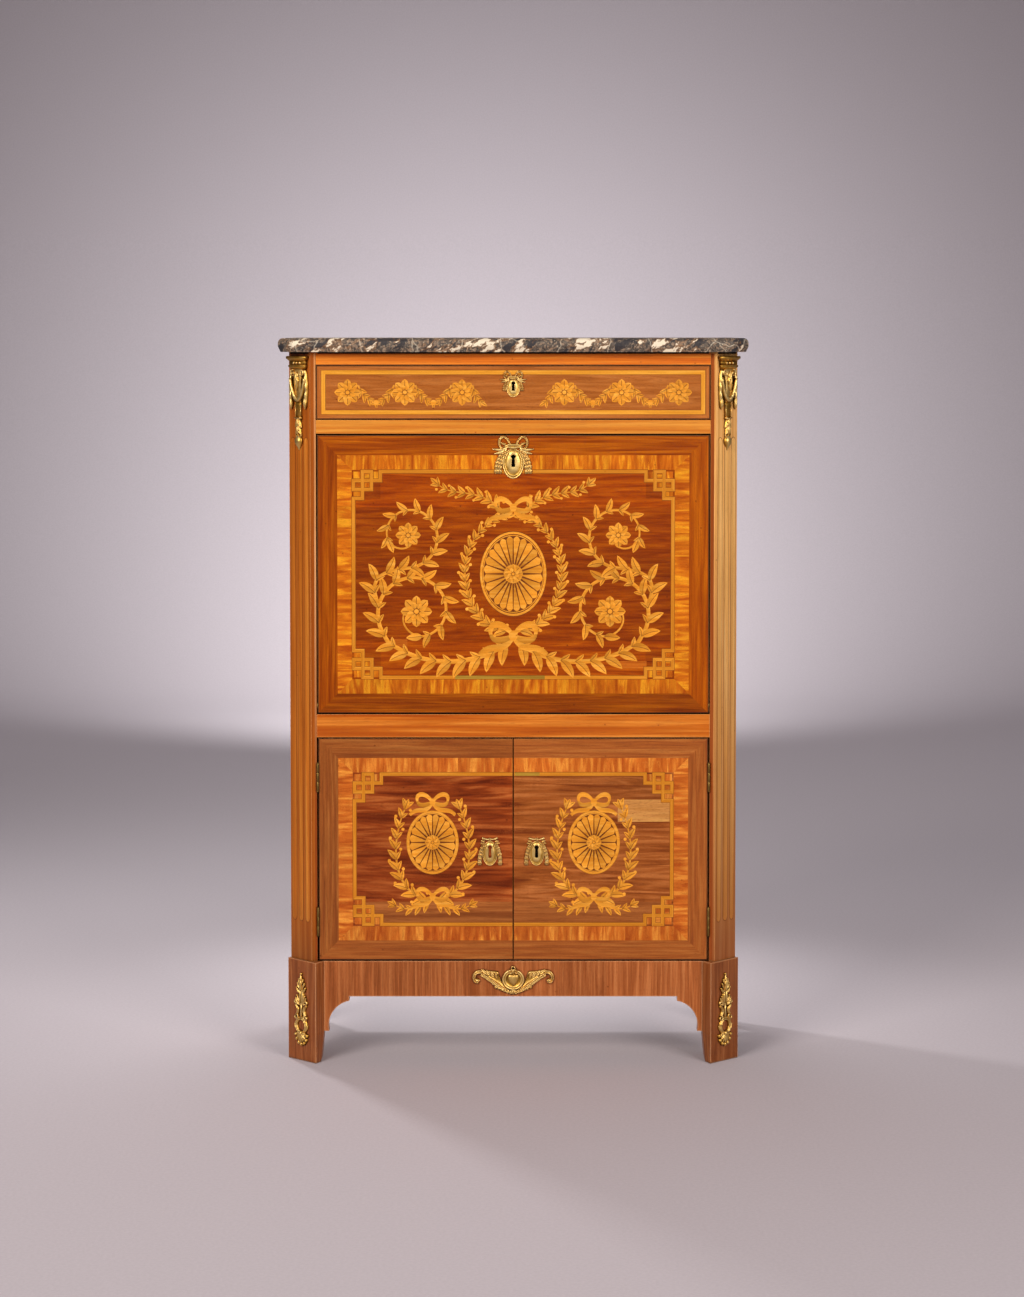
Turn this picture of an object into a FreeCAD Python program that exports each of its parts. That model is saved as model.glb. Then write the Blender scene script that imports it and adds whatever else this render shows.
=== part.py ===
import FreeCAD, Part
import os

import Sketcher

# Drop front secretary. X runs to the right, Y to the back and Z up, all in millimetres.
# The origin is on the floor under the middle of the marble top.

# Driving sizes: name, millimetres, what it measures
SIZES = (
    ("marble_depth", 400, "marble slab, front to back"),
    ("marble_thickness", 27, "marble slab"),
    ("marble_corner", 30, "cut front corners of the slab"),
    ("marble_round", 10, "rounded upper edge of the slab"),
    ("marble_undercut", 5, "how far the slab's lower edge is set in"),
    ("marble_undercut_height", 11, "height of the sloped lower edge"),
    ("marble_overhang", 30, "slab front to the front of the rails"),
    ("side_overhang", 19, "slab beyond the posts at the sides"),
    ("back_overhang", 4, "slab back to the back of the case"),
    ("case_width", 882, "across the outer edges of the front posts"),
    ("post_cant", 44, "canted face of the posts, seen from the front"),
    ("post_depth", 46.5, "front of the rails to the back of the posts"),
    ("post_return_width", 10.5, "slanted strip beside the opening"),
    ("post_return_depth", 8, "how far the post edge stands before the rails"),
    ("side_recess", 8, "side panels behind the edge of the posts"),
    ("side_thickness", 20, "side panels"),
    ("inner_side_thickness", 12, "inner side boards"),
    ("back_recess", 2, "back boards behind the rear posts"),
    ("back_thickness", 10, "back boards"),
    ("rear_post_width", 28, "rear posts, left to right"),
    ("rear_post_depth", 40, "rear posts, front to back"),
    ("plinth_height", 201, "floor to the top of the plinth"),
    ("plinth_proud", 5, "plinth block before the face of the post"),
    ("plinth_edge_inset", 8, "plinth edge inward of the post edge"),
    ("plinth_return_width", 15, "slanted strip of the plinth block"),
    ("plinth_side_proud", 6, "plinth beyond the case at the sides"),
    ("foot_depth", 60, "plinth block, front to back"),
    ("bracket_height", 140, "top of the plinth to the bottom of the aprons' brackets"),
    ("foot_taper", 6, "narrowing of the front feet"),
    ("apron_height", 71, "middle of the aprons"),
    ("apron_thickness", 25, "aprons"),
    ("arch_margin", 50, "foot to the start of the arch"),
    ("bracket_radius", 50, "hollow curve of the apron's brackets"),
    ("bracket_inset", 9, "centre of the curve inside the arch"),
    ("bracket_rise", 11, "centre of the curve above the bottom of the bracket"),
    ("board_thickness", 16, "inner boards"),
    ("reveal", 2, "gaps round the doors and under the fall"),
    ("door_height", 440.5, "doors"),
    ("door_thickness", 22, "doors"),
    ("hinge_gap", 3, "door to post"),
    ("meeting_gap", 2, "between the doors"),
    ("shelf_rise", 219, "bottom board to the top of the shelf"),
    ("shelf_setback", 18, "doors to the front of the shelf"),
    ("middle_rail_height", 45.5, "rail between the doors and the fall"),
    ("fall_height", 547, "fall front"),
    ("fall_thickness", 25, "fall front"),
    ("fall_side_gap", 2.5, "fall front to post"),
    ("fall_top_gap", 3, "fall front to the rail above"),
    ("fall_heel_round", 8, "rounded inner lower edge of the fall front"),
    ("fall_toe_round", 3, "rounded outer lower edge of the fall front"),
    ("pivot_inset", 8, "face of the fall to the pivot's centre"),
    ("pivot_rise", 15, "lower edge of the fall to the pivot's centre"),
    ("pivot_radius", 4, "pivot pins"),
    ("pivot_length", 11, "pivot pin inside the post"),
    ("pivot_root", 25, "pivot pin inside the fall"),
    ("pivot_clearance", 0.06, "round the pivot pins"),
    ("collar_radius", 7, "collar of the pivot pins"),
    ("collar_length", 2, "collar of the pivot pins"),
    ("stay_radius", 180, "middle of the quadrant stays"),
    ("stay_width", 12, "quadrant stays, across the bar"),
    ("stay_thickness", 4, "quadrant stays"),
    ("stay_gap", 3, "quadrant stays to the post"),
    ("stay_foot_height", 40, "plate that fixes the stay"),
    ("stay_foot_thickness", 1.5, "plate that fixes the stay"),
    ("stop_radius", 9, "round stop at the end of the stay"),
    ("guide_length", 10, "guide of the stay, front to back"),
    ("guide_height", 28, "guide of the stay"),
    ("guide_slot_height", 17, "slot of the guide"),
    ("guide_wall", 2, "plates of the guide beside the slot"),
    ("guide_gap", 3, "fall front to the guide"),
    ("stop_gap", 0.3, "between parts that meet at a stop"),
    ("notch_width", 14, "cut-out of the desk floor for the stay"),
    ("notch_margin", 12, "room round the stay in the cut-out"),
    ("desk_floor_thickness", 18, "desk floor"),
    ("bearer_depth", 16, "bearers of the desk floor"),
    ("stop_batten_height", 20, "batten behind the top of the fall"),
    ("stop_batten_depth", 12, "batten behind the top of the fall"),
    ("stop_batten_margin", 26, "ends of the batten to the posts"),
    ("leather_margin", 84, "edges of the fall to the writing leather"),
    ("leather_thickness", 1.2, "writing leather"),
    ("drawer_rail_height", 27, "rail under the frieze drawer"),
    ("drawer_height", 105, "front of the frieze drawer"),
    ("drawer_gap", 1.5, "gaps round the frieze drawer"),
    ("drawer_front_thickness", 22, "front of the frieze drawer"),
    ("drawer_back_gap", 34, "frieze drawer to the back boards"),
    ("drawer_wall", 10, "sides and back of the frieze drawer"),
    ("drawer_drop", 8, "drawer sides below the top of the front"),
    ("drawer_floor_rise", 5, "bottom edge of the sides to the drawer's floor"),
    ("drawer_floor_thickness", 8, "floor of the frieze drawer"),
    ("slide_gap", 0.5, "under a drawer"),
    ("stop_block_width", 40, "blocks behind the frieze drawer"),
    ("stop_block_depth", 14, "blocks behind the frieze drawer"),
    ("stop_block_height", 12, "blocks behind the frieze drawer"),
    ("stop_block_place", 200, "centre to the blocks"),
    ("top_rail_height", 25, "rail under the marble"),
    ("lock_width", 60, "lock cases, across the bolt"),
    ("lock_depth", 9, "lock cases, into the wood"),
    ("lock_margin", 16, "lock cases beyond the keyhole"),
    ("bolt_width", 18, "lock bolts"),
    ("bolt_thickness", 4, "lock bolts"),
    ("bolt_length", 24, "lock bolts"),
    ("bolt_throw", 9, "travel of the lock bolts"),
    ("bolt_clearance", 0.4, "round the lock bolts"),
    ("drawer_backset", 40, "drawer edge to its keyhole"),
    ("fall_backset", 50, "fall edge to its keyhole"),
    ("door_backset", 45, "door edge to its keyhole"),
    ("door_lock_rise", 216, "bottom of the doors to the keyholes"),
    ("keyhole_radius", 3.2, "round part of the keyholes"),
    ("keyhole_slot", 3.2, "width of the keyhole slot"),
    ("keyhole_drop", 12, "centre of the round to the end of the slot"),
    ("rod_radius", 3, "slide bolt of the left door"),
    ("rod_length", 58, "slide bolt of the left door"),
    ("rod_setback", 4, "top of the door to the slide bolt"),
    ("rod_place", 20, "centre to the slide bolt"),
    ("rod_standoff", 5, "back of the door to the bolt's centre"),
    ("rod_clearance", 0.06, "slide bolt in its guide"),
    ("rod_throw", 12, "travel of the slide bolt"),
    ("rod_guide_height", 30, "guide of the slide bolt"),
    ("rod_guide_width", 16, "guide of the slide bolt"),
    ("rod_knob_length", 9, "knob of the slide bolt"),
    ("hinge_height", 55, "butt hinges"),
    ("hinge_margin", 77, "door ends to the middle of the hinges"),
    ("knuckle_radius", 2.75, "hinge knuckles"),
    ("knuckle_proud", 2.8, "hinge axis before the face of the doors"),
    ("knuckle_gap", 0.3, "between hinge knuckles"),
    ("leaf_thickness", 1.2, "hinge leaves"),
    ("leaf_depth", 18, "hinge leaves, into the gap"),
    ("hinge_pin_radius", 1.4, "hinge pins"),
    ("hinge_pin_clearance", 0.05, "round the hinge pins"),
    ("hinge_cap_height", 1.5, "heads of the hinge pins"),
    ("stay_clearance", 3, "quadrant stays to the fitment"),
    ("fitment_end_gap", 12.5, "fitment ends to the inner sides"),
    ("fitment_board", 8, "upright boards of the fitment"),
    ("fitment_shelf", 10, "shelves of the fitment"),
    ("inner_drawer_bay", 92, "height of the row of small drawers"),
    ("pigeonhole_height", 190, "height of the pigeonholes"),
    ("inner_drawer_gap", 0.6, "beside the small drawers"),
    ("inner_drawer_top_gap", 1.5, "above the small drawers"),
    ("inner_back_gap", 17, "small drawers to the back boards"),
    ("inner_front_thickness", 9, "fronts of the small drawers"),
    ("inner_wall", 6, "sides, back and floor of the small drawers"),
    ("inner_drawer_drop", 10, "walls below the top of the front"),
    ("knob_radius", 6, "knobs of the small drawers"),
    ("knob_neck_radius", 3, "knobs of the small drawers"),
    ("knob_reach", 14, "knobs of the small drawers"),
    ("corner_mount_width", 57, "corner mounts"),
    ("corner_mount_height", 184, "corner mounts"),
    ("corner_mount_depth", 7, "corner mounts"),
    ("corner_mount_drop", 8, "marble to the top of the corner mounts"),
    ("capital_height", 22, "moulded top of the corner mounts"),
    ("capital_depth", 12, "moulded top of the corner mounts"),
    ("foot_mount_width", 42, "foot mounts"),
    ("foot_mount_height", 146, "foot mounts"),
    ("foot_mount_depth", 6, "foot mounts"),
    ("foot_mount_drop", 23, "top of the plinth to the foot mounts"),
    ("apron_mount_width", 157, "apron mount"),
    ("apron_mount_height", 57, "apron mount"),
    ("apron_mount_depth", 6, "apron mount"),
    ("apron_mount_drop", 9, "top of the plinth to the apron mount"),
    ("escutcheon_depth", 3.5, "escutcheons"),
    ("drawer_escutcheon_width", 55, "drawer escutcheon"),
    ("drawer_escutcheon_height", 58, "drawer escutcheon"),
    ("fall_escutcheon_width", 83, "fall escutcheon"),
    ("fall_escutcheon_height", 84, "fall escutcheon"),
    ("door_escutcheon_width", 42, "door escutcheons"),
    ("door_escutcheon_height", 48, "door escutcheons"),
)

# Places worked out from the sizes
PLACES = (
    ("half_case", "Sizes.case_width / 2"),
    ("half_opening", "Places.half_case - Sizes.post_cant - Sizes.post_return_width"),
    ("half_marble", "Places.half_case + Sizes.side_overhang"),
    ("rail_front", "Sizes.marble_overhang - Sizes.marble_depth / 2"),
    ("case_back", "Sizes.marble_depth / 2 - Sizes.back_overhang"),
    ("post_back", "Places.rail_front + Sizes.post_depth"),
    ("post_edge_x", "Places.half_opening + Sizes.post_return_width"),
    ("post_edge_y", "Places.rail_front - Sizes.post_return_depth"),
    ("post_outer_y", "Places.post_edge_y + Places.half_case - Places.post_edge_x"),
    ("side_face", "Places.half_case - Sizes.side_recess"),
    ("side_inner", "Places.side_face - Sizes.side_thickness"),
    ("inner_side_outer", "Places.half_opening + Sizes.inner_side_thickness"),
    ("back_front", "Places.case_back - Sizes.back_recess - Sizes.back_thickness"),
    ("rear_post_inner", "Places.side_face - Sizes.rear_post_width"),
    ("rear_post_front", "Places.case_back - Sizes.rear_post_depth"),
    ("plinth_edge_x", "Places.post_edge_x - Sizes.plinth_edge_inset"),
    ("plinth_edge_y", "Places.post_edge_y - Sizes.plinth_edge_inset - sqrt(2) * Sizes.plinth_proud"),
    ("plinth_inner", "Places.plinth_edge_x - Sizes.plinth_return_width"),
    ("plinth_outer", "Places.half_case + Sizes.plinth_side_proud"),
    ("plinth_outer_y", "Places.plinth_edge_y + Places.plinth_outer - Places.plinth_edge_x"),
    ("plinth_side", "Places.side_face + Sizes.plinth_side_proud"),
    ("foot_back", "Places.rail_front + Sizes.foot_depth"),
    ("plinth_top", "Sizes.plinth_height"),
    ("foot_height", "Places.plinth_top - Sizes.bracket_height"),
    ("apron_low", "Places.plinth_top - Sizes.apron_height"),
    ("door_low", "Places.plinth_top + Sizes.reveal"),
    ("door_high", "Places.door_low + Sizes.door_height"),
    ("door_back", "Places.rail_front + Sizes.door_thickness"),
    ("door_outer", "Places.half_opening - Sizes.hinge_gap"),
    ("door_inner", "Sizes.meeting_gap / 2"),
    ("bottom_top", "Places.plinth_top + Sizes.board_thickness"),
    ("shelf_top", "Places.bottom_top + Sizes.shelf_rise"),
    ("middle_rail_low", "Places.door_high + Sizes.reveal"),
    ("middle_rail_high", "Places.middle_rail_low + Sizes.middle_rail_height"),
    ("fall_low", "Places.middle_rail_high + Sizes.reveal"),
    ("fall_high", "Places.fall_low + Sizes.fall_height"),
    ("fall_back", "Places.rail_front + Sizes.fall_thickness"),
    ("fall_outer", "Places.half_opening - Sizes.fall_side_gap"),
    ("pivot_y", "Places.rail_front + Sizes.pivot_inset"),
    ("pivot_z", "Places.fall_low + Sizes.pivot_rise"),
    ("heel_y", "Sizes.fall_thickness - Sizes.pivot_inset - Sizes.fall_heel_round"),
    ("heel_z", "Sizes.pivot_rise - Sizes.fall_heel_round"),
    ("heel_sweep", "sqrt(Places.heel_y ^ 2 + Places.heel_z ^ 2) + Sizes.fall_heel_round"),
    ("desk_top", "Places.pivot_z + Sizes.fall_thickness - Sizes.pivot_inset"),
    ("desk_low", "Places.desk_top - Sizes.desk_floor_thickness"),
    ("desk_front", "Places.pivot_y + Places.heel_sweep + 1"),
    ("stay_outer", "Places.half_opening - Sizes.stay_gap"),
    ("stay_inner", "Places.stay_outer - Sizes.stay_thickness"),
    ("guide_front", "Places.fall_back + Sizes.guide_gap"),
    ("guide_back", "Places.guide_front + Sizes.guide_length"),
    ("guide_middle", "Places.guide_front + Sizes.guide_length / 2 - Places.pivot_y"),
    ("guide_z", "Places.pivot_z + sqrt(Sizes.stay_radius ^ 2 - Places.guide_middle ^ 2)"),
    ("stay_inner_edge", "Sizes.stay_radius - Sizes.stay_width / 2"),
    ("stay_offset", "Sizes.fall_thickness - Sizes.pivot_inset + Sizes.stop_gap"),
    ("stay_start", "asin(Places.stay_offset / Places.stay_inner_edge) / 1 deg"),
    ("stop_reach", "Places.guide_back + Sizes.stop_radius + Sizes.stop_gap - Places.pivot_y"),
    ("stay_end", "90 + asin(Places.stop_reach / Sizes.stay_radius) / 1 deg"),
    ("stop_y", "Places.pivot_y + sqrt(Sizes.stay_radius ^ 2 - Places.stop_reach ^ 2)"),
    ("stop_z", "Places.pivot_z - Places.stop_reach"),
    ("drawer_rail_low", "Places.fall_high + Sizes.fall_top_gap"),
    ("drawer_rail_high", "Places.drawer_rail_low + Sizes.drawer_rail_height"),
    ("drawer_low", "Places.drawer_rail_high + Sizes.drawer_gap"),
    ("drawer_high", "Places.drawer_low + Sizes.drawer_height"),
    ("drawer_outer", "Places.half_opening - Sizes.drawer_gap"),
    ("drawer_front_back", "Places.rail_front + Sizes.drawer_front_thickness"),
    ("drawer_end", "Places.back_front - Sizes.drawer_back_gap"),
    ("drawer_wall_low", "Places.drawer_rail_high + Sizes.slide_gap"),
    ("drawer_floor_low", "Places.drawer_wall_low + Sizes.drawer_floor_rise"),
    ("drawer_floor_high", "Places.drawer_floor_low + Sizes.drawer_floor_thickness"),
    ("top_rail_low", "Places.drawer_high + Sizes.drawer_gap"),
    ("case_top", "Places.top_rail_low + Sizes.top_rail_height"),
    ("lower_shelf_low", "Places.desk_top + Sizes.inner_drawer_bay"),
    ("stay_sweep", "Sizes.stay_radius + Sizes.stop_radius + Sizes.stay_clearance"),
    ("shelf_over_pivot", "Places.lower_shelf_low - Places.pivot_z"),
    ("fitment_front", "Places.pivot_y + sqrt(Places.stay_sweep ^ 2 - Places.shelf_over_pivot ^ 2)"),
    ("fitment_outer", "Places.half_opening - Sizes.fitment_end_gap"),
    ("fitment_inner", "Places.fitment_outer - Sizes.fitment_board"),
    ("inner_bay_width", "(2 * Places.fitment_inner - 2 * Sizes.fitment_board) / 3"),
    ("hole_width", "(2 * Places.half_opening - 4 * Sizes.fitment_board) / 5"),
    ("lower_shelf_high", "Places.lower_shelf_low + Sizes.fitment_shelf"),
    ("upper_shelf_low", "Places.lower_shelf_high + Sizes.pigeonhole_height"),
    ("hinge_x", "Places.half_opening - Sizes.hinge_gap / 2"),
    ("hinge_y", "Places.rail_front - Sizes.knuckle_proud"),
    ("lower_hinge_z", "Places.door_low + Sizes.hinge_margin"),
    ("upper_hinge_z", "Places.door_high - Sizes.hinge_margin"),
    ("door_keyhole_z", "Places.door_low + Sizes.door_lock_rise"),
    ("rod_y", "Places.door_back + Sizes.rod_standoff"),
    ("rod_high", "Places.door_high - Sizes.rod_setback"),
)

# Half outlines of the bronzes as shares of the half width and the height, from the top down
CORNER_MOUNT_SHARES = (
    (0.92, -0.11), (0.88, -0.22), (0.64, -0.42), (0.36, -0.50), (0.22, -0.54), (0.27, -0.64),
    (0.36, -0.72), (0.30, -0.84), (0.18, -0.87), (0.26, -0.92), (0.0, -1.0),
)
FOOT_MOUNT_SHARES = (
    (0.0, 0.0), (0.16, -0.08), (0.22, -0.22), (0.52, -0.30), (0.62, -0.44), (0.94, -0.54), (1.0, -0.66),
    (0.74, -0.74), (0.66, -0.82), (0.96, -0.90), (0.88, -0.97), (0.36, -1.0),
)
APRON_MOUNT_SHARES = (
    (0.0, 0.0), (0.16, -0.02), (0.28, -0.20), (0.42, -0.24), (0.62, -0.18), (0.84, -0.34), (1.0, -0.62),
    (0.96, -0.78), (0.84, -0.72), (0.66, -0.60), (0.46, -0.72), (0.28, -0.80), (0.14, -0.96), (0.0, -1.0),
)
ESCUTCHEON_SHARES = (
    (0.0, -0.04), (0.30, 0.0), (0.50, -0.08), (0.46, -0.24), (0.72, -0.26), (1.0, -0.40), (0.94, -0.62),
    (0.74, -0.78), (0.52, -0.84), (0.30, -0.97), (0.0, -1.0),
)

SIDES = (("left", -1), ("right", 1))
AXES = {"x": FreeCAD.Vector(1, 0, 0), "y": FreeCAD.Vector(0, 1, 0), "z": FreeCAD.Vector(0, 0, 1)}


class Workshop:
    """Makes the document's objects with their sizes bound to the two sheets."""

    def __init__(self, name):
        self.document = FreeCAD.newDocument(name)
        self.subparts = []

    def add_sheets(self):
        """Writes the driving sizes, then the places worked out from them."""
        sizes = self.document.addObject("Spreadsheet::Sheet", "Sizes")
        for row, (alias, number, meaning) in enumerate(SIZES, start=1):
            sizes.set(f"A{row}", meaning)
            sizes.set(f"B{row}", str(number))
            sizes.setAlias(f"B{row}", alias)
        self.document.recompute()
        places = self.document.addObject("Spreadsheet::Sheet", "Places")
        for row, (alias, formula) in enumerate(PLACES, start=1):
            places.set(f"A{row}", "=" + formula)
            places.setAlias(f"A{row}", alias)
            self.document.recompute()

    def value(self, expression):
        """Returns the number that an expression has now."""
        return float(self.document.Places.evalExpression(expression))

    def keep(self, item):
        """Notes an object as a sub-part to be written."""
        self.subparts.append(item)
        return item

    def place(self, item, point, rotation=None):
        """Binds an object's position to three expressions."""
        if rotation is not None:
            item.Placement = FreeCAD.Placement(FreeCAD.Vector(), rotation)
        for axis, expression in zip("xyz", point):
            item.setExpression(f"Placement.Base.{axis}", expression)
        return item

    def box(self, label, x_span, y_span, z_span):
        """Makes a block between a low and a high expression on each axis."""
        block = self.document.addObject("Part::Box", label)
        spans = (x_span, y_span, z_span)
        for size, (low, high) in zip(("Length", "Width", "Height"), spans):
            block.setExpression(size, f"({high}) - ({low})")
        return self.place(block, [low for low, high in spans])

    def rod(self, label, axis, start, radius, length):
        """Makes a cylinder that runs along an axis from a start point."""
        cylinder = self.document.addObject("Part::Cylinder", label)
        cylinder.setExpression("Radius", radius)
        cylinder.setExpression("Height", length)
        return self.place(cylinder, start, FreeCAD.Rotation(AXES["z"], AXES[axis]))

    def fuse(self, label, *members):
        """Joins overlapping objects into one solid."""
        joined = self.document.addObject("Part::MultiFuse", label)
        joined.Shapes = list(members)
        joined.Refine = True
        return joined

    def cut(self, label, base, *tools):
        """Takes one or more tools out of a base."""
        result = self.document.addObject("Part::Cut", label)
        result.Base = base
        result.Tool = tools[0] if len(tools) == 1 else self.group(f"{label}_cutters", *tools)
        return result

    def group(self, label, *members):
        """Gathers separate solids under one name."""
        gathered = self.document.addObject("Part::Compound", label)
        gathered.Links = list(members)
        return gathered

    def sketch(self, body, label, role, points, offset):
        """Draws a closed outline, each corner bound to two expressions."""
        outline = body.newObject("Sketcher::SketchObject", label)
        plane = next(item for item in body.Origin.OriginFeatures if item.Role == role)
        outline.AttachmentSupport = (plane, [""])
        outline.MapMode = "FlatFace"
        outline.setExpression("AttachmentOffset.Base.z", offset)
        corners = [FreeCAD.Vector(self.value(x), self.value(y), 0) for x, y in points]
        count = len(corners)
        for index in range(count):
            outline.addGeometry(Part.LineSegment(corners[index], corners[(index + 1) % count]), False)
        for index in range(count):
            outline.addConstraint(Sketcher.Constraint("Coincident", index, 2, (index + 1) % count, 1))
        for index, (x, y) in enumerate(points):
            corner = corners[index]
            for kind, expression, number in (("DistanceX", x, corner.x), ("DistanceY", y, corner.y)):
                rule = outline.addConstraint(Sketcher.Constraint(kind, -1, 1, index, 1, number))
                outline.setExpression(f"Constraints[{rule}]", expression)
        return outline

    def body(self, label):
        """Starts an empty body."""
        return self.document.addObject("PartDesign::Body", label)

    def pad(self, body, label, role, points, offset, length):
        """Adds an outline pushed out to a length."""
        feature = body.newObject("PartDesign::Pad", f"{label}_pad")
        feature.Profile = self.sketch(body, f"{label}_outline", role, points, offset)
        feature.setExpression("Length", length)
        self.document.recompute()
        return feature

    def loft(self, body, label, low_points, low, high_points, high):
        """Adds a sloped block between two level outlines."""
        feature = body.newObject("PartDesign::AdditiveLoft", f"{label}_loft")
        feature.Profile = self.sketch(body, f"{label}_low_outline", "XY_Plane", low_points, low)
        feature.Sections = [self.sketch(body, f"{label}_high_outline", "XY_Plane", high_points, high)]
        feature.Ruled = True
        self.document.recompute()
        return feature

    def round_edges(self, body, label, feature, chosen, radius):
        """Rounds the edges of a feature whose midpoint passes a test."""
        names = []
        for index, edge in enumerate(feature.Shape.Edges, start=1):
            if chosen(edge.CenterOfMass):
                names.append(f"Edge{index}")
        rounded = body.newObject("PartDesign::Fillet", f"{label}_round")
        rounded.Base = (feature, names)
        rounded.setExpression("Radius", radius)
        self.document.recompute()
        return rounded

    def write(self):
        """Checks every object and writes one file for each sub-part."""
        self.document.recompute()
        for item in self.document.Objects:
            if "Invalid" in item.State or "Error" in item.State:
                raise RuntimeError(f"{item.Label} did not compute")
        for item in self.subparts:
            if item.Shape.isNull() or not item.Shape.isValid() or not item.Shape.Solids:
                raise RuntimeError(f"{item.Label} has no valid solid")
            item.Shape.exportStep(os.path.join("parts", f"{item.Label}.step"))


def side_span(sign, inner, outer):
    """Returns the low and high x between an inner and an outer distance on one side."""
    if sign < 0:
        return (f"-({outer})", f"-({inner})")
    return (inner, outer)


def middle_span(half):
    """Returns the low and high x of a span about the centre."""
    return (f"-({half})", half)


def close_to(first, second):
    """Tells whether two lengths agree."""
    return abs(first - second) < 0.01


def build_marble(shop):
    """Makes the slab: a sloped lower edge, a straight band and a rounded upper edge."""

    def outline(inset):
        half = f"(Places.half_marble - {inset})"
        back = "Sizes.marble_depth / 2"
        front = f"({inset} - Sizes.marble_depth / 2)"
        corner = f"(Sizes.marble_corner + (sqrt(2) - 2) * {inset})"
        return (
            (f"-{half}", back),
            (f"-{half}", f"{front} + {corner}"),
            (f"{corner} - {half}", front),
            (f"{half} - {corner}", front),
            (half, f"{front} + {corner}"),
            (half, back),
        )

    body = shop.body("marble_top")
    band_low = "Places.case_top + Sizes.marble_undercut_height"
    shop.loft(body, "marble", outline("Sizes.marble_undercut"), "Places.case_top", outline("0"), band_low)
    band_height = "Sizes.marble_thickness - Sizes.marble_undercut_height"
    slab = shop.pad(body, "marble", "XY_Plane", outline("0"), band_low, band_height)
    top = shop.value("Places.case_top + Sizes.marble_thickness")
    back = shop.value("Sizes.marble_depth / 2")
    shop.round_edges(
        body, "marble", slab,
        lambda middle: close_to(middle.z, top) and not close_to(middle.y, back),
        "Sizes.marble_round",
    )
    shop.keep(body)


def build_posts(shop):
    """Makes the canted front posts, bored for the fall's pivots, and the rear posts."""
    for side, sign in SIDES:
        outline = (
            (f"{sign} * Places.half_opening", "Places.rail_front"),
            (f"{sign} * Places.post_edge_x", "Places.post_edge_y"),
            (f"{sign} * Places.half_case", "Places.post_outer_y"),
            (f"{sign} * Places.side_face", "Places.post_back"),
            (f"{sign} * Places.half_opening", "Places.post_back"),
        )
        blank = shop.body(f"{side}_post_blank")
        height = "Places.case_top - Places.plinth_top"
        shop.pad(blank, f"{side}_post", "XY_Plane", outline, "Places.plinth_top", height)
        depth = "Sizes.pivot_length + 1"
        bore_start = side_span(sign, "Places.half_opening", f"Places.half_opening + {depth}")[0]
        bore = shop.rod(
            f"{side}_pivot_bore", "x", (bore_start, "Places.pivot_y", "Places.pivot_z"),
            "Sizes.pivot_radius + Sizes.pivot_clearance", depth,
        )
        shop.keep(shop.cut(f"{side}_front_post", blank, bore))
    rear_posts = []
    for side, sign in SIDES:
        rear_posts.append(shop.box(
            f"{side}_rear_post", side_span(sign, "Places.rear_post_inner", "Places.side_face"),
            ("Places.rear_post_front", "Places.case_back"), ("0", "Places.case_top"),
        ))
    shop.keep(shop.group("rear_posts", *rear_posts))


def build_feet(shop):
    """Makes the canted plinth blocks with their tapered feet."""

    def outline(sign, taper):
        return (
            (f"{sign} * (Places.plinth_inner + {taper})", "Places.rail_front"),
            (f"{sign} * Places.plinth_edge_x", f"Places.plinth_edge_y + {taper}"),
            (f"{sign} * Places.plinth_outer", "Places.plinth_outer_y"),
            (f"{sign} * Places.plinth_side", "Places.plinth_outer_y + Sizes.post_return_width"),
            (f"{sign} * Places.plinth_side", "Places.foot_back"),
            (f"{sign} * (Places.plinth_inner + {taper})", "Places.foot_back"),
        )

    for side, sign in SIDES:
        body = shop.body(f"{side}_front_foot")
        straight = outline(sign, "0")
        tapered = outline(sign, "Sizes.foot_taper")
        shop.loft(body, f"{side}_foot", tapered, "0", straight, "Places.foot_height")
        height = "Places.plinth_top - Places.foot_height"
        shop.pad(body, f"{side}_foot", "XY_Plane", straight, "Places.foot_height", height)
        shop.keep(body)


def arch_cutters(shop, label, axis, low, high, thick_start, thickness):
    """Makes the cutters of an apron's arch between two ends along an axis."""
    start = f"({low}) + Sizes.arch_margin"
    end = f"({high}) - Sizes.arch_margin"
    level_span = ("Places.foot_height - 1", "Places.apron_low")
    level = "Places.foot_height + Sizes.bracket_rise"
    thick_span = (f"({thick_start}) - 1", f"({thick_start}) + ({thickness}) + 1")
    across = "y" if axis == "x" else "x"
    spans = {axis: (start, end), across: thick_span}
    cutters = [shop.box(f"{label}_arch", spans["x"], spans["y"], level_span)]
    centres = (("first", f"{start} + Sizes.bracket_inset"), ("second", f"{end} - Sizes.bracket_inset"))
    for name, centre in centres:
        points = {axis: centre, across: thick_span[0]}
        cutters.append(shop.rod(
            f"{label}_{name}_bracket", across, (points["x"], points["y"], level),
            "Sizes.bracket_radius", f"({thickness}) + 2",
        ))
    return cutters


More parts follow.
